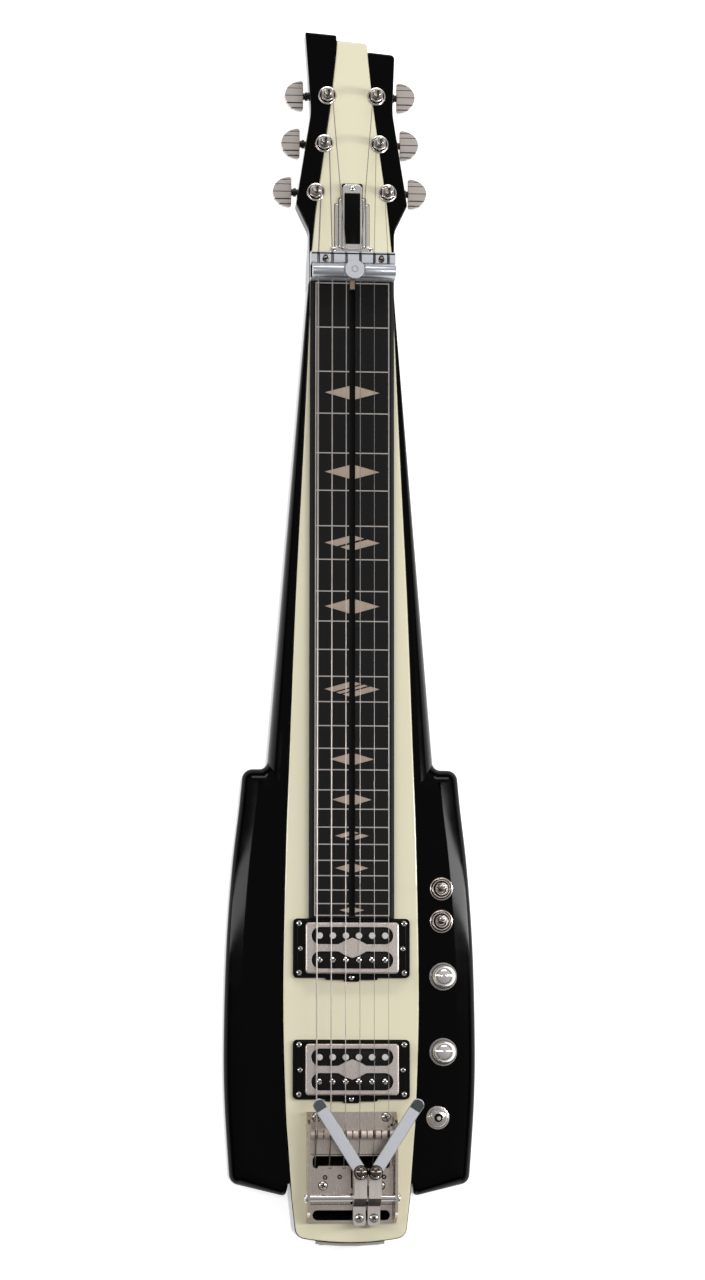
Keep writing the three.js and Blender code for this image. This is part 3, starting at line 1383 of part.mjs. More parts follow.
for (const number of stringNumbers) {
  addPiece(`string_${number}`, 'steel', stringPiece(number));
}
const windingGaps = stringNumbers.map((number) => leastLoopGap(number));
console.log(`least gap of a winding to itself: ${Math.min(...windingGaps).toFixed(2)} mm`);

for (const [tag, distance] of [['front', frontPickupFromSaddle], ['rear', rearPickupFromSaddle]]) {
  addPiece(`pickup_ring_${tag}`, 'plastic', pickupRing(distance));
  addPiece(`pickup_cover_${tag}`, 'nickel', pickupCover(distance));
  addPiece(`pickup_coils_${tag}`, 'plastic', pickupCoils(distance));
}

switchPlaces.forEach((place, i) => {
  addPiece(`switch_bezel_${i + 1}`, 'chrome', switchBezel(place));
  addPiece(`switch_lever_${i + 1}`, 'chrome', switchLever(place));
});
addPiece('volume_knob', 'chrome', knob(knobPlaces[0]));
addPiece('tone_knob', 'chrome', knob(knobPlaces[1]));
addPiece('output_jack', 'chrome', outputJack(jackPlace));

addPiece('bridge_base', 'nickel', bridgeBase());
addPiece('saddle_bar', 'nickel', saddleBar());
addPiece('anchor_plate', 'nickel', anchorPlate());
addPiece('pivot_shaft', 'nickel', pivotShaft());
benderStrings.forEach((number, i) => {
  const swing = i === 0 ? bendLeverAngle : -bendLeverAngle;
  addPiece(`bender_arm_${number}`, 'nickel', benderArm(armMiddles[i]));
  addPiece(`bender_lever_${number}`, 'satin', benderLever(armMiddles[i], swing));
});
addPiece('tail_plate', 'chrome', tailPlate());

// Centre the instrument's length on the origin
const tailReach = tailEndFromNut + seat + tailPlateThickness;
instrument.position.y = (tailReach - headTipFromNut) / 2;

export default instrument;
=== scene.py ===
from math import acos, asin, atan2, copysign, cos, hypot, pi, radians, sin, tan

import bpy
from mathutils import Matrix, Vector


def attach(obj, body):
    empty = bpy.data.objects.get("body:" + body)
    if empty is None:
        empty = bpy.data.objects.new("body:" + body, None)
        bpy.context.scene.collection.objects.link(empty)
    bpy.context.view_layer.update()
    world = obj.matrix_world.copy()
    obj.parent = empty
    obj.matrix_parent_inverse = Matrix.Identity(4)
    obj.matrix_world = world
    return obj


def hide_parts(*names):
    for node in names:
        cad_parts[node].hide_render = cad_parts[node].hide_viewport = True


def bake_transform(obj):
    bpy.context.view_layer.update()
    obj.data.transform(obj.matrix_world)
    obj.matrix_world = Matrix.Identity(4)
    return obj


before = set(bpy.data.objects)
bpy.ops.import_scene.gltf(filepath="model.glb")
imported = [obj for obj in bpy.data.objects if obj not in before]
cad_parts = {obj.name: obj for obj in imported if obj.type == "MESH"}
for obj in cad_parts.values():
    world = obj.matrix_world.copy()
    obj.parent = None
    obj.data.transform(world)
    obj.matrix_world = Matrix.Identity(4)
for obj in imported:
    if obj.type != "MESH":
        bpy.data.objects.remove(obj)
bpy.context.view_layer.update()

mm = 0.001
nutPlace = 267.35  # the nut, in millimetres up from the frame's origin
topOfCore = 42
topOfWing = 38.5
topOfBoard = 48
weldReach = 0.000002  # points closer than this are one
home = (0, nutPlace, 0)  # the frame's origin, counted from the nut
print("stage: frame loaded,", len(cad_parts), "nodes")


# camera, lamps and floor

view = {"place": (-0.23581, -0.32896, 2.80820), "turn": (6.5721, -4.8944, 0.0472), "lens": 103.546}
cameraData = bpy.data.cameras.new("photoCamera")
cameraData.lens = view["lens"]
cameraData.sensor_width = 36
cameraData.clip_end = 20
camera = bpy.data.objects.new("photoCamera", cameraData)
camera.location = view["place"]
camera.rotation_euler = [radians(angle) for angle in view["turn"]]
bpy.context.scene.collection.objects.link(camera)
bpy.context.scene.camera = camera
bpy.context.scene.view_settings.view_transform = "Standard"

lamps = {
    # name: place, aimed at, width, length, watts
    "stripLeft": ((-1.55, 0.0, 1.25), (0, 0, 0), 0.15, 2.8, 13),
    "stripRight": ((1.55, 0.0, 1.25), (0, 0, 0), 0.15, 2.8, 27),
    "headPanel": ((0.0, 1.9, 1.5), (0, 0.1, 0), 1.8, 0.4, 15),
}
for lampName, (place, aim, width, length, watts) in lamps.items():
    lampData = bpy.data.lights.new(lampName, "AREA")
    lampData.shape = "RECTANGLE"
    lampData.size = width
    lampData.size_y = length
    lampData.energy = watts
    lamp = bpy.data.objects.new(lampName, lampData)
    lamp.location = place
    towards = Vector(aim) - Vector(place)
    lamp.rotation_euler = towards.to_track_quat("-Z", "Y").to_euler()
    bpy.context.scene.collection.objects.link(lamp)


def wire(tree, *pairs):
    for start, end in pairs:
        tree.links.new(start, end)


def addNode(tree, kind, **values):
    # settings of the node by name, and the values of its inputs in a dictionary
    node = tree.nodes.new(kind)
    inputs = values.pop("inputs", {})
    for label, value in values.items():
        setattr(node, label, value)
    for label, value in inputs.items():
        node.inputs[label].default_value = value
    return node


def lightPathSum(tree, *labels):
    path = addNode(tree, "ShaderNodeLightPath")
    total = path.outputs[labels[0]]
    for label in labels[1:]:
        adder = addNode(tree, "ShaderNodeMath", operation="MAXIMUM")
        wire(tree, (total, adder.inputs[0]), (path.outputs[label], adder.inputs[1]))
        total = adder.outputs[0]
    return total


world = bpy.data.worlds.new("studio")
bpy.context.scene.world = world
world.use_nodes = True
sky = world.node_tree
sky.nodes.clear()
# white at the horizon, a dark band over it that gives polished metal its dark lines, and grey overhead,
# a little brighter towards the head and the treble side; the camera sees plain white behind the object
skyBands = {"horizon": (0.13, 1), "top": (0.52, 0.5), "between": ((0.19, 0.1), (0.42, 0.14)),
            "slant": (0.22, 0.3, 0), "base": 0.85}
lookAt = addNode(sky, "ShaderNodeTexCoord")
split = addNode(sky, "ShaderNodeSeparateXYZ")
rise = addNode(sky, "ShaderNodeValToRGB")
stops = rise.color_ramp.elements
for stop, (height, shade) in zip(stops, (skyBands["horizon"], skyBands["top"])):
    stop.position, stop.color = height, (shade, shade, shade, 1)
for height, shade in skyBands["between"]:
    stops.new(height).color = (shade, shade, shade, 1)
slant = addNode(sky, "ShaderNodeVectorMath", operation="DOT_PRODUCT", inputs={1: skyBands["slant"]})
lift = addNode(sky, "ShaderNodeMath", inputs={1: skyBands["base"]})
strength = addNode(sky, "ShaderNodeMath", operation="MULTIPLY")
whiteBehind = addNode(sky, "ShaderNodeMath", operation="MAXIMUM")
surround = addNode(sky, "ShaderNodeBackground")
wire(sky, (lookAt.outputs["Generated"], split.inputs[0]), (split.outputs["Z"], rise.inputs["Fac"]),
     (lookAt.outputs["Generated"], slant.inputs[0]), (slant.outputs["Value"], lift.inputs[0]),
     (rise.outputs["Color"], strength.inputs[0]), (lift.outputs[0], strength.inputs[1]),
     (strength.outputs[0], whiteBehind.inputs[0]), (lightPathSum(sky, "Is Camera Ray"), whiteBehind.inputs[1]),
     (whiteBehind.outputs[0], surround.inputs["Strength"]),
     (surround.outputs[0], addNode(sky, "ShaderNodeOutputWorld").inputs[0]))

bpy.ops.object.select_all(action="DESELECT")
bpy.ops.mesh.primitive_plane_add(size=7, location=(0, 0, -0.0004))  # just under the object
floor = bpy.context.object
floor.name = "floor"
floorPaint = bpy.data.materials.new("floorPaint")
floorPaint.use_nodes = True
ground = floorPaint.node_tree
ground.nodes.clear()
# the glow shows to the camera and in reflections and doesn't light the object
matte = addNode(ground, "ShaderNodeBsdfDiffuse", inputs={"Color": (0.85, 0.85, 0.85, 1)})
glow = addNode(ground, "ShaderNodeEmission", inputs={"Strength": 0.75})
both, mix = addNode(ground, "ShaderNodeAddShader"), addNode(ground, "ShaderNodeMixShader")
wire(ground, (matte.outputs[0], both.inputs[0]), (glow.outputs[0], both.inputs[1]),
     (lightPathSum(ground, "Is Camera Ray", "Is Glossy Ray", "Is Transmission Ray"), mix.inputs[0]),
     (matte.outputs[0], mix.inputs[1]), (both.outputs[0], mix.inputs[2]),
     (mix.outputs[0], addNode(ground, "ShaderNodeOutputMaterial").inputs[0]))
floor.data.materials.append(floorPaint)
print("stage: camera, lamps and floor")


# materials

def tone(red, green, blue):
    # a screen colour from 0 to 255 as a scene colour
    def linear(value):
        value /= 255
        return value / 12.92 if value <= 0.04045 else ((value + 0.055) / 1.055) ** 2.4
    return (linear(red), linear(green), linear(blue), 1)


def startGroup(name, inputs, outputs):
    group = bpy.data.node_groups.new(name, "ShaderNodeTree")
    for label, kind, value in inputs:
        socket = group.interface.new_socket(name=label, in_out="INPUT", socket_type=kind)
        socket.default_value = value
    for label, kind in outputs:
        group.interface.new_socket(name=label, in_out="OUTPUT", socket_type=kind)
    return group, group.nodes.new("NodeGroupInput"), group.nodes.new("NodeGroupOutput")


def noiseIn(group, enter, detail):
    # noise over the object, stretched and scaled by the group's own inputs
    place, mapping = addNode(group, "ShaderNodeTexCoord"), addNode(group, "ShaderNodeMapping")
    noise = addNode(group, "ShaderNodeTexNoise", inputs={"Detail": detail})
    wire(group, (place.outputs["Object"], mapping.inputs["Vector"]),
         (enter.outputs["Stretch"], mapping.inputs["Scale"]), (mapping.outputs["Vector"], noise.inputs["Vector"]),
         (enter.outputs["Scale"], noise.inputs["Scale"]))
    return noise.outputs["Fac"]


def makeSurfaceGrain():
    # noise stretched along the grain, as a roughness between two limits and a height
    group, enter, leave = startGroup("surfaceGrain", [
        ("Scale", "NodeSocketFloat", 200), ("Stretch", "NodeSocketVector", (1, 1, 1)),
        ("Low", "NodeSocketFloat", 0.2), ("High", "NodeSocketFloat", 0.3)],
        [("Roughness", "NodeSocketFloat"), ("Height", "NodeSocketFloat")])
    noise = noiseIn(group, enter, 4)
    limits = addNode(group, "ShaderNodeMapRange", inputs={"From Min": 0.3, "From Max": 0.7})
    wire(group, (noise, limits.inputs["Value"]), (enter.outputs["Low"], limits.inputs["To Min"]),
         (enter.outputs["High"], limits.inputs["To Max"]), (limits.outputs["Result"], leave.inputs["Roughness"]),
         (noise, leave.inputs["Height"]))
    return group


def makeTwoTone():
    # two colours in slow drifts, with a finer fleck over them
    group, enter, leave = startGroup("twoTone", [
        ("First", "NodeSocketColor", (1, 1, 1, 1)), ("Second", "NodeSocketColor", (0.8, 0.8, 0.8, 1)),
        ("Scale", "NodeSocketFloat", 12), ("Stretch", "NodeSocketVector", (1, 1, 1))],
        [("Color", "NodeSocketColor")])
    blend = addNode(group, "ShaderNodeMix", data_type="RGBA")
    wire(group, (noiseIn(group, enter, 6), blend.inputs["Factor"]), (enter.outputs["First"], blend.inputs["A"]),
         (enter.outputs["Second"], blend.inputs["B"]), (blend.outputs["Result"], leave.inputs["Color"]))
    return group


surfaceGrain = makeSurfaceGrain()
twoTone = makeTwoTone()


finishes = {
    # name: slot in the frame, two colours, scale of their drift, scale of the grain, roughness, bump, all else
    "creamLacquer": ("cream_lacquer", (241, 235, 207), (234, 227, 196), 5, 90, (0.16, 0.24), 0.01, {"coat": 0.4}),
    "blackLacquer": ("black_lacquer", (3, 3, 4), (1, 1, 2), 8, 60, (0.06, 0.1), 0.006, {"specular": 0.1}),
    "boardBlack": ("fretboard_black", (23, 22, 23), (15, 14, 15), 60, 1800, (0.38, 0.5), 0.1,
                   {"stretch": (1, 0.06, 1), "specular": 0.14}),
    "inlayTan": ("line_inlay", (180, 163, 148), (152, 133, 118), 260, 900, (0.3, 0.42), 0.05,
                 {"stretch": (1, 0.25, 1)}),
    "lineSilver": ("line_inlay", (180, 174, 168), (162, 156, 150), 80, 600, (0.3, 0.4), 0.03, {}),
    "chromePlate": ("chrome", (232, 228, 226), (220, 216, 214), 30, 120, (0.06, 0.12), 0.002, {"metallic": 1}),
    "nickelPlate": ("nickel", (222, 210, 200), (208, 196, 186), 60, 4200, (0.2, 0.28), 0.012,
                    {"stretch": (1, 0.04, 1), "metallic": 1}),
    "brightNickel": ("nickel", (226, 217, 210), (212, 203, 196), 60, 400, (0.17, 0.24), 0.003, {"metallic": 1}),
    "polishedChrome": ("chrome", (240, 236, 232), (230, 226, 222), 30, 120, (0.08, 0.14), 0.002,
                       {"metallic": 0.74}),
    "darkChrome": ("steel", (128, 119, 111), (96, 88, 82), 120, 300, (0.14, 0.22), 0.004, {"metallic": 1}),
    "satinNickel": ("nickel", (214, 204, 198), (200, 190, 184), 60, 3600, (0.32, 0.42), 0.04,
                    {"stretch": (0.06, 1, 1), "metallic": 0.8}),
    "coverNickel": ("nickel", (222, 212, 205), (210, 199, 192), 60, 5200, (0.25, 0.31), 0.008, {"metallic": 0.92}),
    "rollerNickel": ("nickel", (222, 206, 196), (206, 190, 180), 80, 3200, (0.34, 0.44), 0.01,
                     {"stretch": (1, 0.1, 0.1), "metallic": 0.6}),
    "satinAlloy": ("satin_alloy", (208, 210, 215), (196, 198, 204), 400, 4600, (0.36, 0.48), 0.08,
                   {"metallic": 0.45}),
    # painted shade: a darker copy of the lever alloy for its bent tip
    "tipShadeAlloy": ("satin_alloy", (136, 141, 142), (112, 117, 118), 300, 3000, (0.24, 0.36), 0.06,
                 {"metallic": 0.9}),
    "satinSteel": ("satin_alloy", (192, 195, 202), (180, 183, 190), 60, 5200, (0.28, 0.34), 0.003,
                   {"stretch": (0.05, 1, 1), "metallic": 0.8}),
    "armSteel": ("satin_alloy", (222, 213, 207), (198, 189, 183), 900, 5200, (0.26, 0.4), 0.06,
                 {"stretch": (1, 0.03, 1), "metallic": 0.55}),
    "slugSteel": ("steel", (224, 221, 218), (204, 200, 197), 160, 4800, (0.34, 0.46), 0.05, {"metallic": 0.45}),
    "darkSteel": ("steel", (74, 68, 64), (44, 40, 38), 90, 2500, (0.3, 0.45), 0.08, {"metallic": 1}),
    "brassBar": ("brass", (190, 168, 148), (160, 138, 118), 150, 2800, (0.3, 0.42), 0.05, {"metallic": 0.7}),
    "stringSteel": ("steel", (150, 146, 141), (134, 130, 125), 40, 5000, (0.26, 0.34), 0.002,
                    {"stretch": (1, 0.1, 1), "metallic": 0.9}),
    "stringWound": ("steel", (180, 172, 166), (162, 154, 148), 40, 6000, (0.3, 0.34), 0.002,
                    {"stretch": (0.05, 1, 0.05), "metallic": 0.85}),
    "blackPlastic": ("black_plastic", (6, 6, 7), (3, 3, 4), 50, 2500, (0.12, 0.2), 0.01, {"specular": 0.16}),
    "bobbinBlack": ("black_plastic", (24, 21, 19), (5, 4, 4), 1800, 2600, (0.5, 0.7), 0.2, {"specular": 0.14}),
    "printBlack": ("black_plastic", (7, 6, 7), (3, 3, 4), 50, 500, (0.12, 0.2), 0.02, {"specular": 0.12}),
    # painted shade: near-black matt laid in slots, gaps, holes, grooves and rims where shade falls, and matt black
    # on the body's underside
    "shadeAndMattBlack": ("black_lacquer", (10, 10, 10), (5, 5, 5), 50, 900, (0.6, 0.8), 0.1, {"specular": 0.15}),
}


def makeFinish(name, first, second, drift, grain, rough, bump, rest):
    material = bpy.data.materials.new(name)
    material.use_nodes = True
    tree = material.node_tree
    shader = tree.nodes["Principled BSDF"]
    stretch = rest.get("stretch", (1, 1, 1))
    colour = addNode(tree, "ShaderNodeGroup", node_tree=twoTone, inputs={
        "First": tone(*first), "Second": tone(*second), "Scale": drift, "Stretch": stretch})
    surface = addNode(tree, "ShaderNodeGroup", node_tree=surfaceGrain, inputs={
        "Scale": grain, "Stretch": stretch, "Low": rough[0], "High": rough[1]})
    relief = addNode(tree, "ShaderNodeBump", inputs={"Strength": bump, "Distance": 0.0002})
    wire(tree, (colour.outputs["Color"], shader.inputs["Base Color"]),
         (surface.outputs["Roughness"], shader.inputs["Roughness"]),
         (surface.outputs["Height"], relief.inputs["Height"]), (relief.outputs["Normal"], shader.inputs["Normal"]))
    for label, value in (("Metallic", rest.get("metallic", 0)), ("Coat Weight", rest.get("coat", 0)),
                         ("Coat Roughness", 0.03), ("Specular IOR Level", rest.get("specular", 0.5))):
        shader.inputs[label].default_value = value
    return material


materials = {name: makeFinish(name, *values[1:]) for name, values in finishes.items()}
print("stage: materials")


# shaping helpers, all in millimetres: across, from the nut towards the tail, and up

def spot(across, fromNut, up):
    return Vector((across, nutPlace - fromNut, up)) * mm


def clearSelection():
    if bpy.context.object and bpy.context.object.mode != "OBJECT":
        bpy.ops.object.mode_set(mode="OBJECT")
    bpy.ops.object.select_all(action="DESELECT")


def pick(piece):
    clearSelection()
    piece.select_set(True)
    bpy.context.view_layer.objects.active = piece
    return piece


def settle(piece, name):
    # the place goes into the mesh and the object back to the origin
    pick(piece)
    bpy.ops.object.transform_apply(location=True, rotation=True, scale=True)
    piece.name = name
    piece.data.name = name
    return piece


def dress(piece, finish, body="instrument", stands=(), smooth=32):
    pick(piece)
    bpy.ops.object.shade_smooth_by_angle(angle=radians(smooth))
    piece.data.materials.clear()
    piece.data.materials.append(materials[finish])
    if body:
        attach(piece, body)
    if stands:
        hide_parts(*stands)
    return piece


def paint(piece, finish, test):
    # a second finish on the faces whose middle (across, from the nut, up) and normal pass the test
    piece.data.materials.append(materials[finish])
    last = len(piece.data.materials) - 1
    for face in piece.data.polygons:
        middle = face.center / mm
        if test(middle.x, nutPlace - middle.y, middle.z, face.normal):
            face.material_index = last
    return piece


def editAll(piece):
    # into edit mode with everything selected
    pick(piece)
    bpy.ops.object.mode_set(mode="EDIT")
    bpy.ops.mesh.select_all(action="SELECT")


def tidyShell(piece):
    editAll(piece)
    bpy.ops.mesh.remove_doubles(threshold=weldReach)
    bpy.ops.mesh.normals_make_consistent(inside=False)
    bpy.ops.object.mode_set(mode="OBJECT")
    return piece


def drawnOut(name, points, shift):
    # a disc whose rim is laid along the points, then drawn out by the shift
    clearSelection()
    bpy.ops.mesh.primitive_circle_add(vertices=len(points), radius=0.01, fill_type="NGON")
    piece = bpy.context.object
    for vertex, point in zip(piece.data.vertices, points):
        vertex.co = point
    editAll(piece)
    bpy.ops.mesh.extrude_region_move(TRANSFORM_OT_translate={"value": shift})
    return settle(tidyShell(piece), name)


def slab(name, outline, low, high):
    return drawnOut(name, [spot(across, fromNut, low) for across, fromNut in outline], (0, 0, (high - low) * mm))


def wrap(name, rings):
    # a grid rolled up: each of its rows is one ring of points, the two ends are then filled
    clearSelection()
    count = len(rings[0])
    bpy.ops.mesh.primitive_grid_add(x_subdivisions=count, y_subdivisions=len(rings) - 1)
    piece = bpy.context.object
    for index, vertex in enumerate(piece.data.vertices):
        row, column = divmod(index, count + 1)
        vertex.co = spot(*rings[row][column % count])
    editAll(piece)
    bpy.ops.mesh.remove_doubles(threshold=weldReach)
    bpy.ops.mesh.fill_holes(sides=0)
    return settle(tidyShell(piece), name)


def turn(name, profile, place, along="Z", sides=48):
    # a disc drawn up and scaled step by step; the profile lists radius and height
    clearSelection()
    radius, height = profile[0]
    bpy.ops.mesh.primitive_circle_add(vertices=sides, radius=radius * mm, fill_type="NGON",
                                      location=(0, 0, height * mm))
    piece = bpy.context.object
    bpy.ops.object.transform_apply(location=True, rotation=False, scale=False)
    editAll(piece)
    for nextRadius, nextHeight in profile[1:]:
        bpy.ops.mesh.extrude_region_move(TRANSFORM_OT_translate={"value": (0, 0, (nextHeight - height) * mm)})
        share = nextRadius / radius
        bpy.ops.transform.resize(value=(share, share, 1), center_override=(0, 0, nextHeight * mm))
        radius, height = nextRadius, nextHeight
    tidyShell(piece)
    piece.rotation_euler = {"Z": (0, 0, 0), "X": (0, pi / 2, 0), "-Y": (pi / 2, 0, 0)}[along]
    piece.location = spot(*place)
    return settle(piece, name)


def drill(radius, low, high, across, fromNut, sides=24):
    # an upright round tool
    return turn("cut", [(radius, low), (radius, high)], (across, fromNut, 0), sides=sides)


def block(name, across, fromNut, up):
    clearSelection()
    bpy.ops.mesh.primitive_cube_add(size=1)
    piece = bpy.context.object
    low, high = spot(across[0], fromNut[1], up[0]), spot(across[1], fromNut[0], up[1])
    piece.scale = high - low
    piece.location = (low + high) / 2
    return settle(piece, name)


def modify(piece, kind, **settings):
    # one modifier, applied at once
    pick(piece)
    step = piece.modifiers.new("step", kind)
    for label, value in settings.items():
        setattr(step, label, value)
    bpy.ops.object.modifier_apply(modifier=step.name)
    return piece


def roundEdges(piece, width, steps=2, angle=35):
    return modify(piece, "BEVEL", width=width * mm, segments=steps, limit_method="ANGLE",
                  angle_limit=radians(angle))


def evenShade(piece):
    # flat faces keep their own normal where they meet a rounded edge
    return modify(piece, "WEIGHTED_NORMAL", keep_sharp=True, weight=90)


def combine(piece, others, operation="DIFFERENCE", keep=False):
    for other in others:
        modify(piece, "BOOLEAN", operation=operation, solver="EXACT", object=other)
        if not keep:
            bpy.data.objects.remove(other)
    return piece


def join(pieces, name):
    clearSelection()
    for piece in pieces:
        piece.select_set(True)
    bpy.context.view_layer.objects.active = pieces[0]
    bpy.ops.object.join()
    return settle(bpy.context.object, name)


def copyOf(piece, name, shift, spin=0, mirror=False):
    # a copy with its own mesh, moved in millimetres: across, towards the tail, up
    pick(piece)
    bpy.ops.object.duplicate()
    twin = bpy.context.object
    twin.parent = None
    twin.location = Vector((shift[0], -shift[1], shift[2])) * mm
    if mirror:
        twin.scale = (-1, 1, 1)
    twin.rotation_euler = (0, 0, spin)
    settle(twin, name)
    return tidyShell(twin) if mirror else twin


def dressedCopy(model, name, shift, finish, body="instrument", stands=(), spin=0, mirror=False):
    return dress(copyOf(model, name, shift, spin, mirror), finish, body, stands)


def reworked(node, name, width):
    # a CAD solid's copy with its flat faces joined up and its edges eased
    clearSelection()
    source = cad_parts[node]
    piece = source.copy()
    piece.data = source.data.copy()
    for key in list(piece.keys()):
        del piece[key]
    piece.parent = None
    bpy.context.scene.collection.objects.link(piece)
    editAll(piece)
    bpy.ops.mesh.remove_doubles(threshold=weldReach)
    bpy.ops.mesh.dissolve_limited(angle_limit=radians(0.5))
    bpy.ops.object.mode_set(mode="OBJECT")
    return roundEdges(settle(piece, name), width)


def refined(node, name, finish, width=0.3, body="instrument"):
    # a reworked solid, dressed and standing for the CAD's own
    return evenShade(dress(reworked(node, name, width), finish, body, [node]))


def scoreAcross(piece, heights):
    # edges right round the piece, at these distances up the frame
    editAll(piece)
    for height in heights:
        bpy.ops.mesh.select_all(action="SELECT")
        bpy.ops.mesh.bisect(plane_co=(0, height, 0), plane_no=(0, 1, 0))
    bpy.ops.object.mode_set(mode="OBJECT")


# outlines

def corner(across, fromNut, radius=0, insetShares=(1, 1), steps=8):
    return {"at": Vector((across, -fromNut)), "radius": radius, "shares": insetShares, "steps": steps}


def outlineOf(corners, inset=0):
    # rounds the corners of an anticlockwise outline, after each edge has moved in by its share
    count = len(corners)
    edges = []
    for index, start in enumerate(corners):
        end = corners[(index + 1) % count]
        along = (end["at"] - start["at"]).normalized()
        inward = Vector((-along.y, along.x))
        first = start["at"] + inward * inset * start["shares"][0]
        last = end["at"] + inward * inset * start["shares"][1]
        edges.append((first, last, (last - first).normalized()))
    points = []
    for index, start in enumerate(corners):
        before, after = edges[index - 1], edges[index]
        bend = before[2].cross(after[2])
        if abs(bend) < 1e-4:
            meet = (before[1] + after[0]) / 2
        else:
            meet = before[0] + before[2] * ((after[0] - before[0]).cross(after[2]) / bend)
        radius = start["radius"]
        if radius == 0:
            points.append((meet.x, -meet.y))
            continue
        if bend > 0:
            radius = max(radius - inset * min(start["shares"][0], corners[index - 1]["shares"][1]), 0.3)
        swing = atan2(bend, before[2].dot(after[2]))
        begin = meet - before[2] * radius * tan(abs(swing) / 2)
        centre = begin + Vector((-before[2].y, before[2].x)) * copysign(radius, swing)
        for step in range(start["steps"] + 1):
            angle = swing * step / start["steps"]
            spoke = begin - centre
            points.append((centre.x + spoke.x * cos(angle) - spoke.y * sin(angle),
                           -(centre.y + spoke.x * sin(angle) + spoke.y * cos(angle))))
    return points


def through(points, count):
    # a smooth line through the points, at even spacing
    fine = []
    pads = [points[0], *points, points[-1]]
    for index in range(len(points) - 1):
        p0, p1, p2, p3 = (Vector(p) for p in pads[index:index + 4])
        for step in range(24):
            t = step / 24
            fine.append(0.5 * (2 * p1 + (p2 - p0) * t + (2 * p0 - 5 * p1 + 4 * p2 - p3) * t ** 2
                               + (3 * p1 - p0 - 3 * p2 + p3) * t ** 3))
    fine.append(Vector(points[-1]))
    lengths = [0]
    for first, last in zip(fine, fine[1:]):
        lengths.append(lengths[-1] + (last - first).length)
    even, index = [], 0
    for step in range(count + 1):
        want = lengths[-1] * step / count
        while index < len(lengths) - 2 and lengths[index + 1] < want:
            index += 1
        share = (want - lengths[index]) / max(lengths[index + 1] - lengths[index], 1e-9)
        even.append(tuple(fine[index].lerp(fine[index + 1], share)))
    return even


def mirrorCorners(corners):
    mirrored = []
    for index, source in enumerate(reversed(corners)):
        shares = corners[(-2 - index) % len(corners)]["shares"]
        mirrored.append(corner(-source["at"].x, -source["at"].y, source["radius"], shares[::-1], source["steps"]))
    return mirrored


def rectCorners(across, fromNut, radius, steps=8):
    (left, right), (top, foot) = across, fromNut
    return [corner(x, d, radius, steps=steps) for x, d in ((left, foot), (right, foot), (right, top), (left, top))]


def roundedRect(across, fromNut, radius, steps=8):
    return outlineOf(rectCorners(across, fromNut, radius, steps))


def centred(width, length, fromNut=nutPlace):
    return (-width / 2, width / 2), (fromNut - length / 2, fromNut + length / 2)


def softRings(corners, low, high, roundWidth, roundDrop, steps=8, footRound=0, footSteps=4):
    # rings for a slab whose upper edge rolls over by a width and a drop, and whose lower one may be rounded
    rings = []
    for step in range(footSteps if footRound else 0):
        angle = pi / 2 * step / footSteps
        inset = footRound * (1 - sin(angle))
        rings.append([(x, d, low + footRound * (1 - cos(angle))) for x, d in outlineOf(corners, inset)])
    rings.append([(x, d, low + footRound) for x, d in outlineOf(corners)])
    for step in range(steps + 1):
        angle = pi / 2 * step / steps
        inset = roundWidth * (1 - cos(angle))
        rings.append([(x, d, high - roundDrop * (1 - sin(angle))) for x, d in outlineOf(corners, inset)])
    return rings


# body: cream core, black wings and head pieces

body = {
    "coreEdge": [(31.6, 0), (37.4, 131.1), (43.0, 246.2), (47.2, 359.9), (49.8, 437.1), (51.6, 546.4),
                 (49.5, 626.5), (47.6, 655.7), (44.6, 695.7)],
    "creamHead": [(11.7, 188.6), (12.6, 178), (14.8, 157), (16.6, 140), (19.8, 116), (23.7, 87), (27.6, 59),
                  (31.1, 23.6)],
    "creamTopBass": 190.6, "creamCorner": 3,
    "tail": 728.5, "tailHalf": 41.3, "tailCrown": 4.2, "tailCorner": 8, "tailShares": (0.2, 0.4, 0.6, 0.78),
    "rim": 1.5, "seam": 0.2, "neckAtNut": 32.7, "shoulder": (63.4, 374, 6, (0.68, 0.04)),
    "bulge": [(81.5, 374), (84.2, 403.1), (89.3, 448.4), (93.4, 508.1), (95.0, 574.1), (94.4, 620.9), (91.0, 674)],
    "bulgeCorner": 8, "lowCorner": (90.1, 684.5, 8), "wingEnd": 694.5, "endCorner": (2.6, 3),
    "wingRound": (16, 10), "wingFoot": 4,
    "pickupWell": (70.8, 38.8), "bridgeWell": ((-29, 29), (664.2, 711.7)), "wellFloor": 20,
    "rodChannel": ((-3.3, 3.3), (-46, 470.3), (31.7, 50)), "rodPocket": ((-5.5, 5.5), (-66, -24), (30.7, 50)),
    # how far the cream comes down over the rim, on the head too, and where the matt black starts
    "creamDrop": 0.25, "headCreamDrop": 0.55, "matt": (36, 67),
}
above = 50  # tools reach up to here, over the top of everything they cut
coreLine = through(body["coreEdge"], 64)
creamLine = through(body["creamHead"], 24)


def tailCrownAt(across):
    return body["tail"] - body["tailCrown"] * (across / body["tailHalf"]) ** 2


def makeCore():
    half = body["tailHalf"]
    side = [corner(half * share, tailCrownAt(half * share)) for share in body["tailShares"]]
    side.append(corner(half, tailCrownAt(half), body["tailCorner"]))
    side += [corner(*point) for point in reversed(coreLine)]
    side += [corner(x, -d) for x, d in reversed(creamLine)]
    side[-1]["radius"] = body["creamCorner"]
    corners = [corner(0, body["tail"]), *side, *mirrorCorners(side)]
    corners[len(side) + 1]["at"].y, corners[len(side) + 1]["radius"] = body["creamTopBass"], 0
    rim = body["rim"]
    return wrap("creamCore", softRings(corners, 0, topOfCore, rim, rim, steps=5, footRound=rim, footSteps=3))


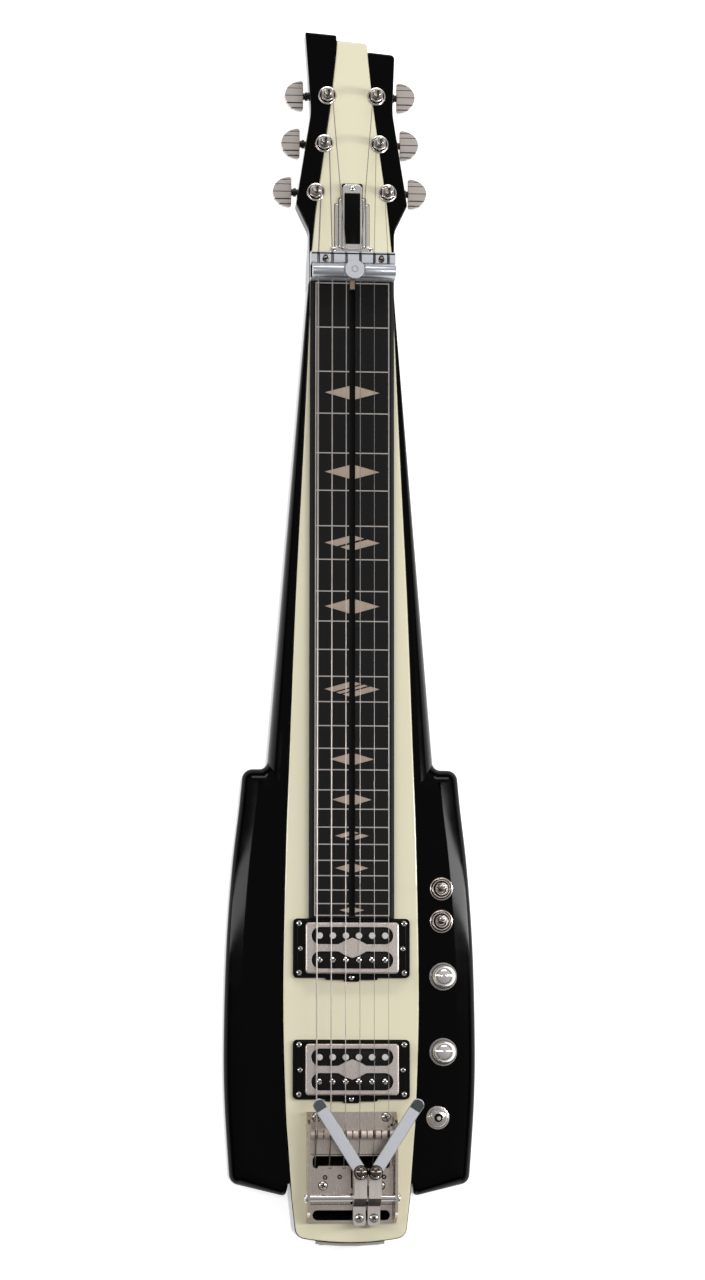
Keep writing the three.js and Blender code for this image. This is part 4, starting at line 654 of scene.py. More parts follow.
def makeWing(side):
    seam = [corner(x + body["seam"], d, 0, (0, 0)) for x, d in coreLine if d < body["wingEnd"]]
    last = seam[-1]["at"]
    bulge = [corner(*point) for point in reversed(through(body["bulge"], 36))]
    bulge[-1]["radius"] = body["bulgeCorner"]
    endAcross, endRound = body["endCorner"]
    corners = [
        corner(last.x, -last.y, 0, (0, 0)),
        corner(last.x + 1, -last.y, 0, (0.02, 0.02)),
        corner(last.x + endAcross, body["wingEnd"], endRound, (0.5, 1)),
        corner(*body["lowCorner"]),
        *bulge,
        corner(*body["shoulder"]),
        corner(body["neckAtNut"], body["seam"], 0, (0, 0)),
        *seam[:-1],
    ]
    corners[-len(seam) + 1]["at"].y = -body["seam"]
    if side == "bass":
        corners = mirrorCorners(corners)
    return wrap("blackWing" + side.capitalize(), softRings(corners, 0, topOfWing, *body["wingRound"], steps=14,
                                                           footRound=body["wingFoot"]))


head = {
    "thickness": 16, "curve": 42, "heel": 3, "tip": 196.6, "rim": 1.4,
    "outline": [(32.9, -40, 14, (1, 1), 10), (43, -61, 6, (1, 1), 10), (31.5, -134, 60, (1, 1), 14)],
    # how far a side stops short of the tip, its outer corner as across, lower and radius, its inner corner as
    # lower and radius, and the points of the seam left out below that
    "bass": (0, (36.2, 0, 1), (1.9, 1.6), 0), "treble": (14.8, (33.2, 2, 3.4), (0, 0.6), 1),
}


def makeHeadWing(side):
    short, (outer, outerLower, outerRound), (innerLower, innerRound), leftOut = head[side]
    top = short - head["tip"]
    edge = [(x + body["seam"], -d) for x, d in creamLine]
    inner = [point for point in edge if point[1] > top]
    crossing = inner[0][0]
    for first, last in zip(edge, edge[1:]):
        if first[1] <= top <= last[1]:
            crossing = first[0] + (last[0] - first[0]) * (top - first[1]) / (last[1] - first[1])
    corners = [
        corner(body["neckAtNut"], -body["seam"], 0, (0.1, 1)),
        *[corner(*values) for values in head["outline"]],
        corner(outer, top + outerLower, outerRound),
        corner(crossing, top + innerLower, innerRound, (0.2, 0)),
        *[corner(x, d, 0, (0, 0)) for x, d in inner[leftOut:]],
        corner(coreLine[0][0] + body["seam"], -body["seam"], 0, (0, 0)),
    ]
    if side == "bass":
        corners = mirrorCorners(corners)
    rings = softRings(corners, 0, topOfCore, head["rim"], head["rim"], steps=4)
    return wrap("blackHead" + side.capitalize(), rings)


def headRelief():
    # the headstock is thinner than the neck: this takes away what is below it
    foot, past, below = topOfCore - head["thickness"], -head["tip"] - 5, -5
    start, reach = -head["heel"], -head["heel"] - head["curve"]
    profile = []
    for step in range(25):
        t = step / 24
        fromNut = (1 - t) ** 3 * start + 3 * (1 - t) ** 2 * t * (start + reach) / 2
        fromNut += 3 * (1 - t) * t ** 2 * (start + reach) / 2 + t ** 3 * reach
        profile.append((fromNut, foot * (3 * (1 - t) * t ** 2 + t ** 3)))
    profile += [(past, foot), (past, below), (start, below)]
    side = 60  # wider than the head
    return drawnOut("relief", [spot(-side, fromNut, up) for fromNut, up in profile], (2 * side * mm, 0, 0))


tuners = {"places": [(-70.3, 27.7), (-108.6, 21.3), (-146.5, 19)], "sleeve": 5.1}
tunerSpots = [(side, number, sign, sign * half, fromNut) for side, sign in (("bass", -1), ("treble", 1))
              for number, (fromNut, half) in enumerate(tuners["places"], 1)]
relief = headRelief()
sleeves = [drill(tuners["sleeve"], 20, above, x, fromNut, 32) for _, _, _, x, fromNut in tunerSpots]
pickups = {"front": 509.6, "rear": 600.1}
wellFloor = body["wellFloor"]
wells = [slab("well", roundedRect(*centred(*body["pickupWell"], d), 3), wellFloor, above) for d in pickups.values()]
wells += [slab("well", roundedRect(*body["bridgeWell"], 2.8), wellFloor, above),
          block("well", *body["rodChannel"]), block("well", *body["rodPocket"])]
core = combine(combine(makeCore(), wells), [relief, *sleeves], keep=True)
dress(core, "creamLacquer", stands=["centre_core"])
paint(core, "blackLacquer", lambda x, d, up, normal:
      up < topOfCore - (body["creamDrop"] if d > 0 else body["headCreamDrop"]))
# painted shade: matt black in the wells where shade falls, and the same matt black below and behind them
mattHalf, mattStart = body["matt"]
paint(core, "shadeAndMattBlack", lambda x, d, up, normal: up < topOfCore - body["headCreamDrop"]
      and (normal.z > 0.9 or (abs(x) < mattHalf and d > mattStart)))
evenShade(core)

controlSpots = {"switches": [(68.5, 464.5), (68.5, 489)], "knobs": [(69.5, 530.5), (69.5, 587)],
                "jack": [(65.5, 636)]}
shaftHoles = {"switches": (4.8, 30.2), "knobs": (3.3, 29.2), "jack": (5.7, 12.2)}  # radius and floor
wings = {side: makeWing(side) for side in ("treble", "bass")}
combine(wings["treble"], [drill(*shaftHoles[kind], above, x, d, 40)
                          for kind, places in controlSpots.items() for x, d in places])
for side in ("treble", "bass"):
    evenShade(dress(wings[side], "blackLacquer", stands=["body_wing_" + side], smooth=40))
for side in ("bass", "treble"):
    piece = combine(makeHeadWing(side), [relief, *sleeves], keep=True)
    evenShade(dress(piece, "blackLacquer", stands=["head_wing_" + side], smooth=40))
for cutter in (relief, *sleeves):
    bpy.data.objects.remove(cutter)
print("stage: body and headstock")


def retouch(finish, *nodes):
    # these solids are shown as they come, with a finish of the scene
    for node in nodes:
        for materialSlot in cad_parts[node].material_slots:
            materialSlot.material = materials[finish]


def lathe(name, profile, place, finish, body="instrument", stands=(), along="Z", sides=48, smooth=32):
    return dress(turn(name, profile, place, along, sides), finish, body, stands, smooth)


def bothEnds(end, length, middle=()):
    # a profile whose far end mirrors its near one
    return [*end, *middle, *[(radius, length - at) for radius, at in reversed(end)]]


def domed(radius, low, high, steps=6, flat=0.12):
    # radius and height pairs for a crowned top
    return [(max(radius * cos(pi / 2 * step / steps), radius * flat),
             low + (high - low) * sin(pi / 2 * step / steps)) for step in range(steps + 1)]


screwSizes = {}
# as shares of the radius or the height; a slot and a cross have a reach and a half width
screwShares = {"foot": 0.96, "edge": 0.12, "shoulder": 0.35, "cutFloor": 0.3, "socket": 0.42, "slot": (1.2, 0.15),
               "cross": (0.62, 0.13), "shadeReach": 0.8, "shadeTop": 0.7}


def makeScrew(name, radius, height, cut, sides=28):
    # a model on the frame's origin; cut is "cross", "slot" or "socket"
    screwSizes[name] = (radius, height)
    shares = screwShares
    screwHead = turn(name, [(radius * shares["foot"], 0), (radius, height * shares["edge"]),
                            *domed(radius, height * shares["shoulder"], height, 4, 0.5)], home, sides=sides)
    floorLevel, top = height * shares["cutFloor"], height * 2
    if cut == "socket":
        return combine(screwHead, [drill(radius * shares["socket"], floorLevel, top, 0, nutPlace, 6)])
    reach, half = (radius * share for share in shares[cut])
    sizes = [(reach, half), (half, reach)] if cut == "cross" else [(reach, half)]
    return combine(screwHead, [block("cut", (-across, across), (nutPlace - along, nutPlace + along),
                                     (floorLevel, top)) for across, along in sizes])


def setScrew(model, name, across, fromNut, up, finish, degrees=0, body="instrument", rim=0):
    if rim:  # painted shade: a dark disc round the head, for the countersink's shadow
        lathe(name + "Rim", [(rim, 0), (rim, 0.08)], (across, fromNut, up + 0.02), "shadeAndMattBlack", body, sides=32)
    radius, height = screwSizes[model.name]
    screw = dressedCopy(model, name, (across, fromNut - nutPlace, up), finish, body, spin=radians(degrees))
    shadeTop, shadeReach = up + height * screwShares["shadeTop"], radius * screwShares["shadeReach"]
    # painted shade: the floor and walls of the slot or cross in near-black
    return paint(screw, "shadeAndMattBlack", lambda x, d, level, normal: level < shadeTop
                 and hypot(x - across, d - fromNut) < shadeReach and normal.z > -0.5)


def screwPair(model, name, place, finish, degrees, rim=0):
    # the same screw on both sides, each with its own turn
    across, fromNut, up = place
    for side, x, angle in (("Bass", -across, degrees[0]), ("Treble", across, degrees[1])):
        setScrew(model, name + side, x, fromNut, up, finish, angle, rim=rim)


def drop(*models):
    for model in models:
        bpy.data.objects.remove(model)


screwModels = {name: makeScrew(name, *values) for name, values in {
    # radius, height and cut
    "crossScrew": (2.0, 0.9, "cross"), "smallScrew": (1.8, 0.8, "cross"), "largeScrew": (3.2, 1.2, "cross"),
    "grubScrew": (1.9, 0.8, "socket"), "nutScrew": (2.3, 0.9, "slot")}.items()}
crossScrew, smallScrew, largeScrew, grubScrew, nutScrew = screwModels.values()

# fretboard, its lines and the diamonds let into it
retouch("boardBlack", "fretboard")
retouch("lineSilver", "fret_lines_bass", "fret_lines_treble")
retouch("stringSteel", "truss_rod")
inlays = {
    # fret: half width, half height, slashes across it as distance along the neck and width
    "shapes": {3: (21.1, 5.83, ()), 5: (21.1, 5.86, ()), 7: (21.1, 5.99, ((0, 1.5),)), 9: (20.9, 6.08, ()),
               12: (21.0, 6.15, ((-1.45, 1.1), (1.45, 1.1))), 15: (16.9, 4.82, ()), 17: (15.0, 4.63, ()),
               19: (12.8, 3.78, ((0, 1.3),)), 21: (12.7, 3.79, ()), 24: (9.5, 2.56, ())},
    "scale": 648, "fit": 0.0525, "lean": 0.29, "depth": 0.48, "proud": 0.02, "grooveHalf": 2.25,
    "toolReach": (9, 30), "toolLevels": (40, 50),
}


def fretPlace(number):
    return inlays["scale"] * (1 - 2 ** (-number / 12))


for fret, (halfWidth, halfHeight, slashes) in inlays["shapes"].items():
    middle = (fretPlace(fret - 1) + fretPlace(fret)) / 2
    inset = 1 - inlays["fit"] / halfHeight
    diamond = slab("inlay", [(-halfWidth * inset, middle), (0, middle + halfHeight * inset),
                             (halfWidth * inset, middle), (0, middle - halfHeight * inset)],
                   topOfBoard - inlays["depth"], topOfBoard + inlays["proud"])
    along, side = inlays["toolReach"]
    tools = [block("cut", (-inlays["grooveHalf"], inlays["grooveHalf"]), (middle - along, middle + along),
                   inlays["toolLevels"])]
    rise = side * inlays["lean"]
    for offset, width in slashes:
        near, far = middle + offset - width / 2, middle + offset + width / 2
        slash = [(-side, near + rise), (-side, far + rise), (side, far - rise), (side, near - rise)]
        tools.append(slab("cut", slash, *inlays["toolLevels"]))
    dress(combine(diamond, tools), "inlayTan").name = "inlayFret" + str(fret)
print("stage: fretboard")

# cover over the truss rod's end
rodCover = {
    # width, start towards the head, length, height, edge round, corner at the tip
    "tiers": [(15.2, -25.2, 51, 4.6, 1.2, 3.52), (20.8, -26.4, 39, 3.3, 1.5, 1.6),
              (26.4, -26.4, 35, 2.0, 1.4, 1.6), (33.7, -22.6, 5.0, 1.8, 0.9, 1.6)],
    "corner": 1.6, "inlay": (12.4, -29, 40, 0.6), "inlayGap": 0.1, "shade": 0.45,
    "topScrew": (0.2, -72.6), "sideScrews": (14.2, -25.2, 43.75),
}
tiers = []
for width, start, length, height, edge, tipCorner in rodCover["tiers"]:
    rect = rectCorners((-width / 2, width / 2), (start - length, start), rodCover["corner"])
    for far in rect[2:]:
        far["radius"] = tipCorner
    tiers.append(wrap("tier", softRings(rect, topOfCore, topOfCore + height, edge, edge, steps=6)))
width, start, length, depth = rodCover["inlay"]
half, gap, coverTop = width / 2, rodCover["inlayGap"], topOfCore + rodCover["tiers"][0][3]
trussCover = combine(tiers[0], tiers[1:], "UNION")
combine(trussCover, [slab("cut", roundedRect((-half, half), (start - length, start), 0.8), coverTop - depth,
                          coverTop + 2)])
trussCover.name = "trussCover"
dress(trussCover, "polishedChrome", stands=["truss_rod_cover"], smooth=40)
# painted shade: thin dark sheets round the foot of each tier, where it meets the one below
shades = []
levels = [topOfCore + height for height in (rodCover["tiers"][1][3], rodCover["tiers"][2][3], 0)]
for tier, under in zip(rodCover["tiers"], levels):
    edge, far = tier[0] / 2 + rodCover["shade"], tier[1] - tier[2] - rodCover["shade"]
    shades.append(slab("shade", roundedRect((-edge, edge), (far, tier[1]), 1.6), under - 0.3, under + 0.06))
dress(join(shades, "trussCoverShade"), "shadeAndMattBlack")
outline = roundedRect((-half + gap, half - gap), (start - length + gap, start - gap), 0.7)
inlayPlate = slab("trussCoverInlay", outline, coverTop - depth + 0.02, coverTop - gap)
dress(roundEdges(inlayPlate, 0.15), "printBlack")
setScrew(crossScrew, "coverScrewTop", *rodCover["topScrew"], coverTop, "chromePlate", 20)
screwPair(smallScrew, "coverScrew", rodCover["sideScrews"], "chromePlate", (-42.6, 42.6))

# nut, its two screws and the thin dark strips of painted shade round it
nut = {
    "screws": (21.4, -14.6, 57.75), "stringGap": 10.7, "slotHalf": 0.85, "slot": ((-21.9, -12.1), (50.02, 50.06)),
    "line": ((-31.9, 31.9), (-19.65, -18.55), (57.77, 57.82)),
    "foot": ((-32.1, 32.1), (-11.9, -1.6), (46.9, 47.05)),
}
refined("nut", "nutBlock", "satinAlloy", 0.25)
screwPair(nutScrew, "nutScrew", nut["screws"], "darkChrome", (25, -35), 2.4)
stringPlaces = [(3.5 - number) * nut["stringGap"] for number in range(1, 7)]
# painted shade: a dark line on the top, dark floors in the string slots and a dark strip at the front foot
shades = [block("shade", *nut["line"]),
          *[block("shade", (x - nut["slotHalf"], x + nut["slotHalf"]), *nut["slot"]) for x in stringPlaces],
          block("shade", *nut["foot"])]
dress(join(shades, "nutShade"), "shadeAndMattBlack")

# capo: bar, thumbwheel and the shoe that runs in the groove
capo = {
    "axis": (-4.5, 63.93), "radius": 5.5, "length": 63.5, "edge": 0.7, "flat": 66.83, "flatHalf": 8.2,
    "bore": 1.85, "wheel": (7.4, 67.13, 70.33), "teeth": 44, "toothDepth": 0.972, "wheelBore": 2.45,
}
axisPlace, axisLevel = capo["axis"]
length, radius, edge = capo["length"], capo["radius"], capo["edge"]
barEnd = [(radius - edge, 0), (radius - edge * 0.3, edge * 0.3), (radius, edge)]
capoBar = turn("capoBar", bothEnds(barEnd, length), (-length / 2, axisPlace, axisLevel), "X", 64)
combine(capoBar, [
    block("cut", (-capo["flatHalf"], capo["flatHalf"]), (axisPlace - 7, axisPlace + 7), (capo["flat"], 75)),
    drill(capo["bore"], 50, 80, 0, axisPlace)])
dress(capoBar, "satinSteel", "capo_clamp", ["capo_bar"])
radius, low, high = capo["wheel"]
wheel = turn("capoWheel", [(radius - 0.5, low), (radius, low + 0.5), (radius, high - 0.55), (radius - 0.5, high),
                           (2.6, high), (2.5, high - 0.9), (1.9, high - 0.9), (1.8, high)],
             (0, axisPlace, 0), sides=capo["teeth"] * 2)
centre = spot(0, axisPlace, 0)
for vertex in wheel.data.vertices:
    arm = Vector((vertex.co.x - centre.x, vertex.co.y - centre.y))
    tooth = round(atan2(arm.y, arm.x) / pi * capo["teeth"]) % 2
    if tooth and arm.length > (radius - 0.2) * mm:
        vertex.co.x = centre.x + arm.x * capo["toothDepth"]
        vertex.co.y = centre.y + arm.y * capo["toothDepth"]
combine(wheel, [drill(capo["bore"], low - 1, low + capo["wheelBore"], 0, axisPlace)])
dress(wheel, "satinAlloy", "capo_screw", ["capo_wheel"], smooth=25)
refined("capo_shoe", "capoShoe", "brassBar", body="capo_runner")
print("stage: nut and capo")

# tuners, modelled once on the treble side around a post at the frame's origin
tunerShape = {
    "housing": ((-6.5, 6.5), (-10.8, 6.2), (14, 26)), "housingRound": 1.3, "housingCorner": 2,
    "wormPlace": (-4.6, 20), "wormHole": (2.3, 2.2, 8),
    "collar": [(4.8, 25.5), (4.8, 42), (6.9, 42), (7.1, 42.2), (7.1, 42.7), (6.8, 43.1), (6.0, 43.3), (5.9, 43.7)],
    "nut": (5.5, 43.6, 45.2), "bore": 3.3,
    "post": [(3, 16.4), (3, 48), (2.55, 48.25), (2.55, 52.4), (3, 52.7), (3, 56.5), (2.75, 56.9), (2.4, 57)],
    "postSlot": (0.8, 52.1), "postBore": (1.2, 50.5), "highlightFrom": 52.5, "darkRing": (43.2, 43.75, 6.5),
    "button": (17.7, 14.3, 23.7), "buttonTiers": [(1.1, 4.4), (0.78, 5.8), (0.46, 7.2)],
    "buttonShadeLines": (-9.65, -5.85, 0, 5.85, 9.65), "lineHalf": 0.3,
    "stem": [(2, 0), (2, 6.4), (2.7, 6.5), (2.9, 6.8), (2.9, 8), (2.2, 8.1), (2.2, 8.7), (2.9, 8.8), (2.9, 10),
             (2.2, 10.1), (2.2, 10.7), (2.9, 10.8), (3.4, 11.4), (3.4, 13), (2.6, 13.2), (2.6, 15.2)],
    "thirdShift": -0.3,
}


def makeHousing():
    across, along, levels = tunerShape["housing"]
    rect = rectCorners(across, (nutPlace + along[0], nutPlace + along[1]), tunerShape["housingCorner"])
    case = wrap("housing", softRings(rect, levels[0], levels[1] - 0.02, 0.4, 0.4, 3, tunerShape["housingRound"]))
    collar = turn("collar", tunerShape["collar"], home)
    combine(case, [collar, roundEdges(drill(*tunerShape["nut"], 0, nutPlace, 6), 0.3)], "UNION")
    wormPlace, wormLevel = tunerShape["wormPlace"]
    radius, start, length = tunerShape["wormHole"]
    return combine(case, [
        drill(tunerShape["bore"], 16, 60, 0, nutPlace, 32),
        turn("cut", [(radius, 0), (radius, length)], (start, nutPlace + wormPlace, wormLevel), "X", 24)])


def makePost():
    slotHalf, slotFoot = tunerShape["postSlot"]
    boreRadius, boreFoot = tunerShape["postBore"]
    return combine(turn("post", tunerShape["post"], home, sides=36), [
        block("cut", (-slotHalf, slotHalf), (nutPlace - 5, nutPlace + 5), (slotFoot, 60)),
        drill(boreRadius, boreFoot, 60, 0, nutPlace, 20)])


def makeButton():
    inner, width, length = tunerShape["button"]
    wormPlace, wormLevel = tunerShape["wormPlace"]
    middle, half = nutPlace + wormPlace, length / 2
    arc = [(inner + 1.2 + (width - 1.2) * cos(radians(a)), middle - half * sin(radians(a)))
           for a in range(-90, 91, 6)]
    outline = outlineOf([corner(inner, middle - half + 1.2, 0.6), corner(inner, middle + half - 1.2, 0.6),
                         *[corner(x, d) for x, d in arc]])
    layers = []
    for share, thickness in tunerShape["buttonTiers"]:
        layer = slab("layer", outline, wormLevel - thickness / 2, wormLevel + thickness / 2)
        if share < 1:
            reach = half * share
            combine(layer, [block("cut", (0, 60), (middle - reach, middle + reach), (0, 40))], "INTERSECT")
        layers.append(roundEdges(layer, 0.35, 3))
    grip = combine(layers[0], layers[1:], "UNION")
    # edges across the grip, to bound the painted shade lines
    scoreAcross(grip, [spot(0, middle + (at + shift), 0).y for at in tunerShape["buttonShadeLines"]
                       for shift in (-tunerShape["lineHalf"], tunerShape["lineHalf"])])
    return combine(grip, [turn("stem", tunerShape["stem"], (3, middle, wormLevel), "X", 32)], "UNION")


housingModel, postModel, buttonModel = makeHousing(), makePost(), makeButton()
for side, number, sign, x, fromNut in tunerSpots:
    tag = side + "_" + str(number)
    along = fromNut - nutPlace
    mirror = side == "bass"
    housing = dressedCopy(housingModel, "tunerHousing_" + tag, (x, along, 0), "brightNickel",
                          stands=["tuner_housing_" + tag], mirror=mirror)
    low, high, reach = tunerShape["darkRing"]
    # painted shade: a dark ring in the groove between the collar and the hex nut
    paint(housing, "shadeAndMattBlack", lambda across, d, up, normal:
          low < up < high and normal.z > 0.3 and hypot(across - x, d - fromNut) < reach)
    post = dressedCopy(postModel, "tunerPost_" + tag, (x, along, 0), "darkChrome", "post_" + tag,
                       ["tuner_post_" + tag])
    # painted highlight: the post's top in bright chrome over the darker chrome below
    paint(post, "chromePlate", lambda across, d, up, normal: up > tunerShape["highlightFrom"])
    start = x + sign * (tunerShape["thirdShift"] if number == 3 else 0)
    button = evenShade(dressedCopy(buttonModel, "tunerButton_" + tag, (start, along, 0), "satinNickel",
                                   "button_" + tag, ["tuner_button_" + tag], mirror=mirror))
    gripStart, rowPlace = tunerShape["button"][0] - 0.3, fromNut + tunerShape["wormPlace"][0]
    # the stem is painted dark steel; painted shade: dark lines across the grip at the feet of its steps and in the
    # middle
    paint(button, "darkSteel", lambda across, d, up, normal: abs(across - start) < gripStart or any(
        abs(d - rowPlace - at) < tunerShape["lineHalf"] + 0.01 for at in tunerShape["buttonShadeLines"]))
drop(housingModel, postModel, buttonModel)
print("stage: tuners")

# strings: from their turns round the posts, over nut and saddle, to their ball ends
strings = {
    "gauges": [0.2, 0.22, 0.28, 0.36, 0.46, 0.58], "bridgeSpacing": 10.8,
    "turns": 1.5, "stepsPerTurn": 36, "waist": 2.55, "gap": 0.3, "pitchGap": 0.45, "windingFoot": 48.2,
    "blockLead": (-16.35, 55.85), "ridgeLead": (-0.75, 56.5), "saddle": (648, 53.2, 3.3),
    "ball": (1.9, 3.4, 38.6), "ballPlace": 675.05, "bentBallPlace": 678.15, "nutRear": -20.7, "bent": (2, 3),
}


def stringRoute(number):
    gauge = strings["gauges"][number - 1]
    treble = number <= 3
    nth = number if treble else 7 - number
    _, _, sign, x, postPlace = next(s for s in tunerSpots if s[1] == nth and (s[2] > 0) == treble)
    atNut, atBridge = stringPlaces[number - 1], (3.5 - number) * strings["bridgeSpacing"]
    ringRadius = strings["waist"] + gauge + strings["gap"]
    wayX, wayY = atNut - x, postPlace - strings["nutRear"]
    leave = atan2(wayY, wayX) - sign * (pi / 2 - asin(ringRadius / hypot(wayX, wayY)))
    count = round(strings["turns"] * strings["stepsPerTurn"])
    points = []
    for step in range(count + 1):
        back = (count - step) / strings["stepsPerTurn"]
        angle = leave - sign * back * 2 * pi
        points.append(spot(x + ringRadius * cos(angle), postPlace - ringRadius * sin(angle),
                           strings["windingFoot"] + gauge + 0.3 + back * (2 * gauge + strings["pitchGap"])))
    points += [spot(atNut, *strings["blockLead"]), spot(atNut, *strings["ridgeLead"])]
    saddlePlace, saddleLevel, radius = strings["saddle"]
    ballPlace = strings["bentBallPlace"] if number in strings["bent"] else strings["ballPlace"]
    back, fall = ballPlace - saddlePlace, strings["ball"][2] - saddleLevel
    bend = atan2(back, fall) - acos(radius / hypot(back, fall))
    for step in range(9):
        angle = bend * step / 8
        points.append(spot(atBridge, saddlePlace + radius * sin(angle), saddleLevel + radius * cos(angle)))
    points.append(spot(atBridge, ballPlace, strings["ball"][2]))
    return points


for number, gauge in enumerate(strings["gauges"], 1):
    points = stringRoute(number)
    bpy.ops.curve.primitive_bezier_curve_add()
    line = bpy.context.object
    line.data.splines.clear()
    spline = line.data.splines.new("POLY")
    spline.points.add(len(points) - 1)
    for point, place in zip(spline.points, points):
        point.co = (*place, 1)
    line.data.dimensions = "3D"
    line.data.bevel_depth = gauge * mm
    line.data.bevel_resolution = 3
    line.data.use_fill_caps = True
    pick(line)
    bpy.ops.object.convert(target="MESH")
    line = tidyShell(bpy.context.object)
    radius, length, _ = strings["ball"]
    end = points[-1]
    ball = turn("ball", [(radius * 0.8, 0), (radius, 0.5), (radius, length - 0.5), (radius * 0.8, length)],
                (end.x / mm - length / 2, nutPlace - end.y / mm, end.z / mm), "X", 24)
    piece = join([line, ball], "string" + str(number))
    bent = number in strings["bent"]
    dress(piece, "stringWound" if number > 3 else "stringSteel", None if bent else "instrument",
          ["string_" + str(number)], smooth=50)
    if bent:
        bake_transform(piece)
print("stage: strings")

# pickups: ring, cover with two windows, bobbins and poles
pickup = {
    # width, length and top of the ring's two steps and its tabs
    "foot": (88, 44.5, 45), "step": (82, 41.8, 47), "tabs": [(39.5, 1.5, 45), (12, 2.8, 44)], "ringCorner": 3.4,
    "cover": (70, 38, 43.3, 53.3), "wall": 0.8, "fit": 0.3, "coverCorner": 2.6, "edge": 1.0,
    "window": (61.4, 12.8, 9.1), "centre": [(10.5, 2.7), (4.6, 5.9), (0, 7.6)],
    "bobbin": (65, 16.6, 43.6, 52.2), "spacing": 9.83, "slug": (2.4, 53.8), "poleScrew": (2.15, 53.4),
    "slotDegrees": [35, 60, -20, 50, 15, 80, 40, -30, 65, 20, 75, 10],
    "cornerScrews": [(-39.5, -18.4), (39.5, -18.4), (39.5, 18.4), (-39.5, 18.4)], "stepLevel": 46.9,
    "heightScrews": {"Bass": (-38.6, 0.4, 46.9), "Treble": (38.6, 0.4, 46.9), "Tab": (0, 21.9, 44.95)},
}


def makeRing():
    def tier(width, length, high):
        rect = rectCorners(*centred(width, length), pickup["ringCorner"])
        return wrap("ring", softRings(rect, topOfCore, high, 0.5, 0.5, steps=3))
    ring, footHalf = tier(*pickup["foot"]), pickup["foot"][1] / 2
    tabs = []
    for width, reach, high in pickup["tabs"]:
        outline = roundedRect((-width / 2, width / 2), (nutPlace, nutPlace + footHalf + reach), 1.2)
        tabs.append(roundEdges(slab("tab", outline, topOfCore, high), 0.4))
    combine(ring, [tier(*pickup["step"]), *tabs], "UNION")
    width, length, _, _ = pickup["cover"]
    hole = roundedRect(*centred(width + 2 * pickup["fit"], length + 2 * pickup["fit"]), pickup["coverCorner"])
    return combine(ring, [slab("cut", hole, 40, 60)])


def makePickupCover():
    width, length, low, high = pickup["cover"]
    wall, cornerRound = pickup["wall"], pickup["coverCorner"]
    cover = wrap("cover", softRings(rectCorners(*centred(width, length), cornerRound), low, high, pickup["edge"],
                                    pickup["edge"], steps=5))
    hollow = roundedRect(*centred(width - 2 * wall, length - 2 * wall), cornerRound - wall)
    combine(cover, [slab("cut", hollow, low - 2, high - wall)])
    # the middle of the cover stays whole, with this outline
    right = pickup["centre"]
    island = [(x, nutPlace - d) for x, d in right] + [(-x, nutPlace - d) for x, d in reversed(right[:-1])]
    island += [(-x, nutPlace + d) for x, d in right] + [(x, nutPlace + d) for x, d in reversed(right[:-1])]
    windowLength, windowWidth, row = pickup["window"]
    for side in (-1, 1):
        place = centred(windowLength, windowWidth, nutPlace + side * row)
        window = slab("cut", roundedRect(*place, windowWidth / 2 - 0.01, 14), 50, 60)
        combine(cover, [combine(window, [slab("cut", island, 45, 65)])])
    return roundEdges(cover, 0.22, angle=50)


ringModel, coverModel = makeRing(), makePickupCover()
poleScrewRadius, poleScrewTop = pickup["poleScrew"]
poleScrewModel = makeScrew("poleScrew", poleScrewRadius, 1.3, "slot")
radius, top = pickup["slug"]
slugModel = turn("slug", [(radius, 50), (radius, top - 0.3), (radius - 0.3, top)], home, sides=32)
width, length, low, high = pickup["bobbin"]
row = pickup["window"][2]
turnsLeft = iter(pickup["slotDegrees"])
for label, middle in pickups.items():
    title = label.capitalize()
    for model, piece, finish in ((ringModel, "ring", "blackPlastic"), (coverModel, "cover", "coverNickel")):
        evenShade(dressedCopy(model, "pickup" + piece.capitalize() + title, (0, middle - nutPlace, 0), finish,
                              stands=["pickup_" + piece + "_" + label]))
    bobbins = [slab("bobbin", roundedRect(*centred(width, length, middle + line), length / 2 - 0.01, 12), low, high)
               for line in (-row, row)]
    dress(join([roundEdges(bobbin, 0.4) for bobbin in bobbins], "pickupBobbins" + title), "bobbinBlack",
          stands=["pickup_coils_" + label])
    for number in range(6):
        across, tag = (2.5 - number) * pickup["spacing"], title + str(number + 1)
        dressedCopy(slugModel, "poleSlug" + tag, (across, middle - row - nutPlace, 0), "slugSteel")
        setScrew(poleScrewModel, "poleScrew" + tag, across, middle + row, poleScrewTop - 1, "chromePlate",
                 next(turnsLeft))
    for number, (across, along) in enumerate(pickup["cornerScrews"]):
        setScrew(crossScrew, "ringScrew" + title + str(number + 1), across, middle + along, pickup["stepLevel"],
                 "chromePlate", 20 + 37 * number)
    for name, (across, along, level) in pickup["heightScrews"].items():
        setScrew(smallScrew, "heightScrew" + title + name, across, middle + along, level, "chromePlate", 30)
drop(ringModel, coverModel, poleScrewModel, slugModel)
print("stage: pickups")

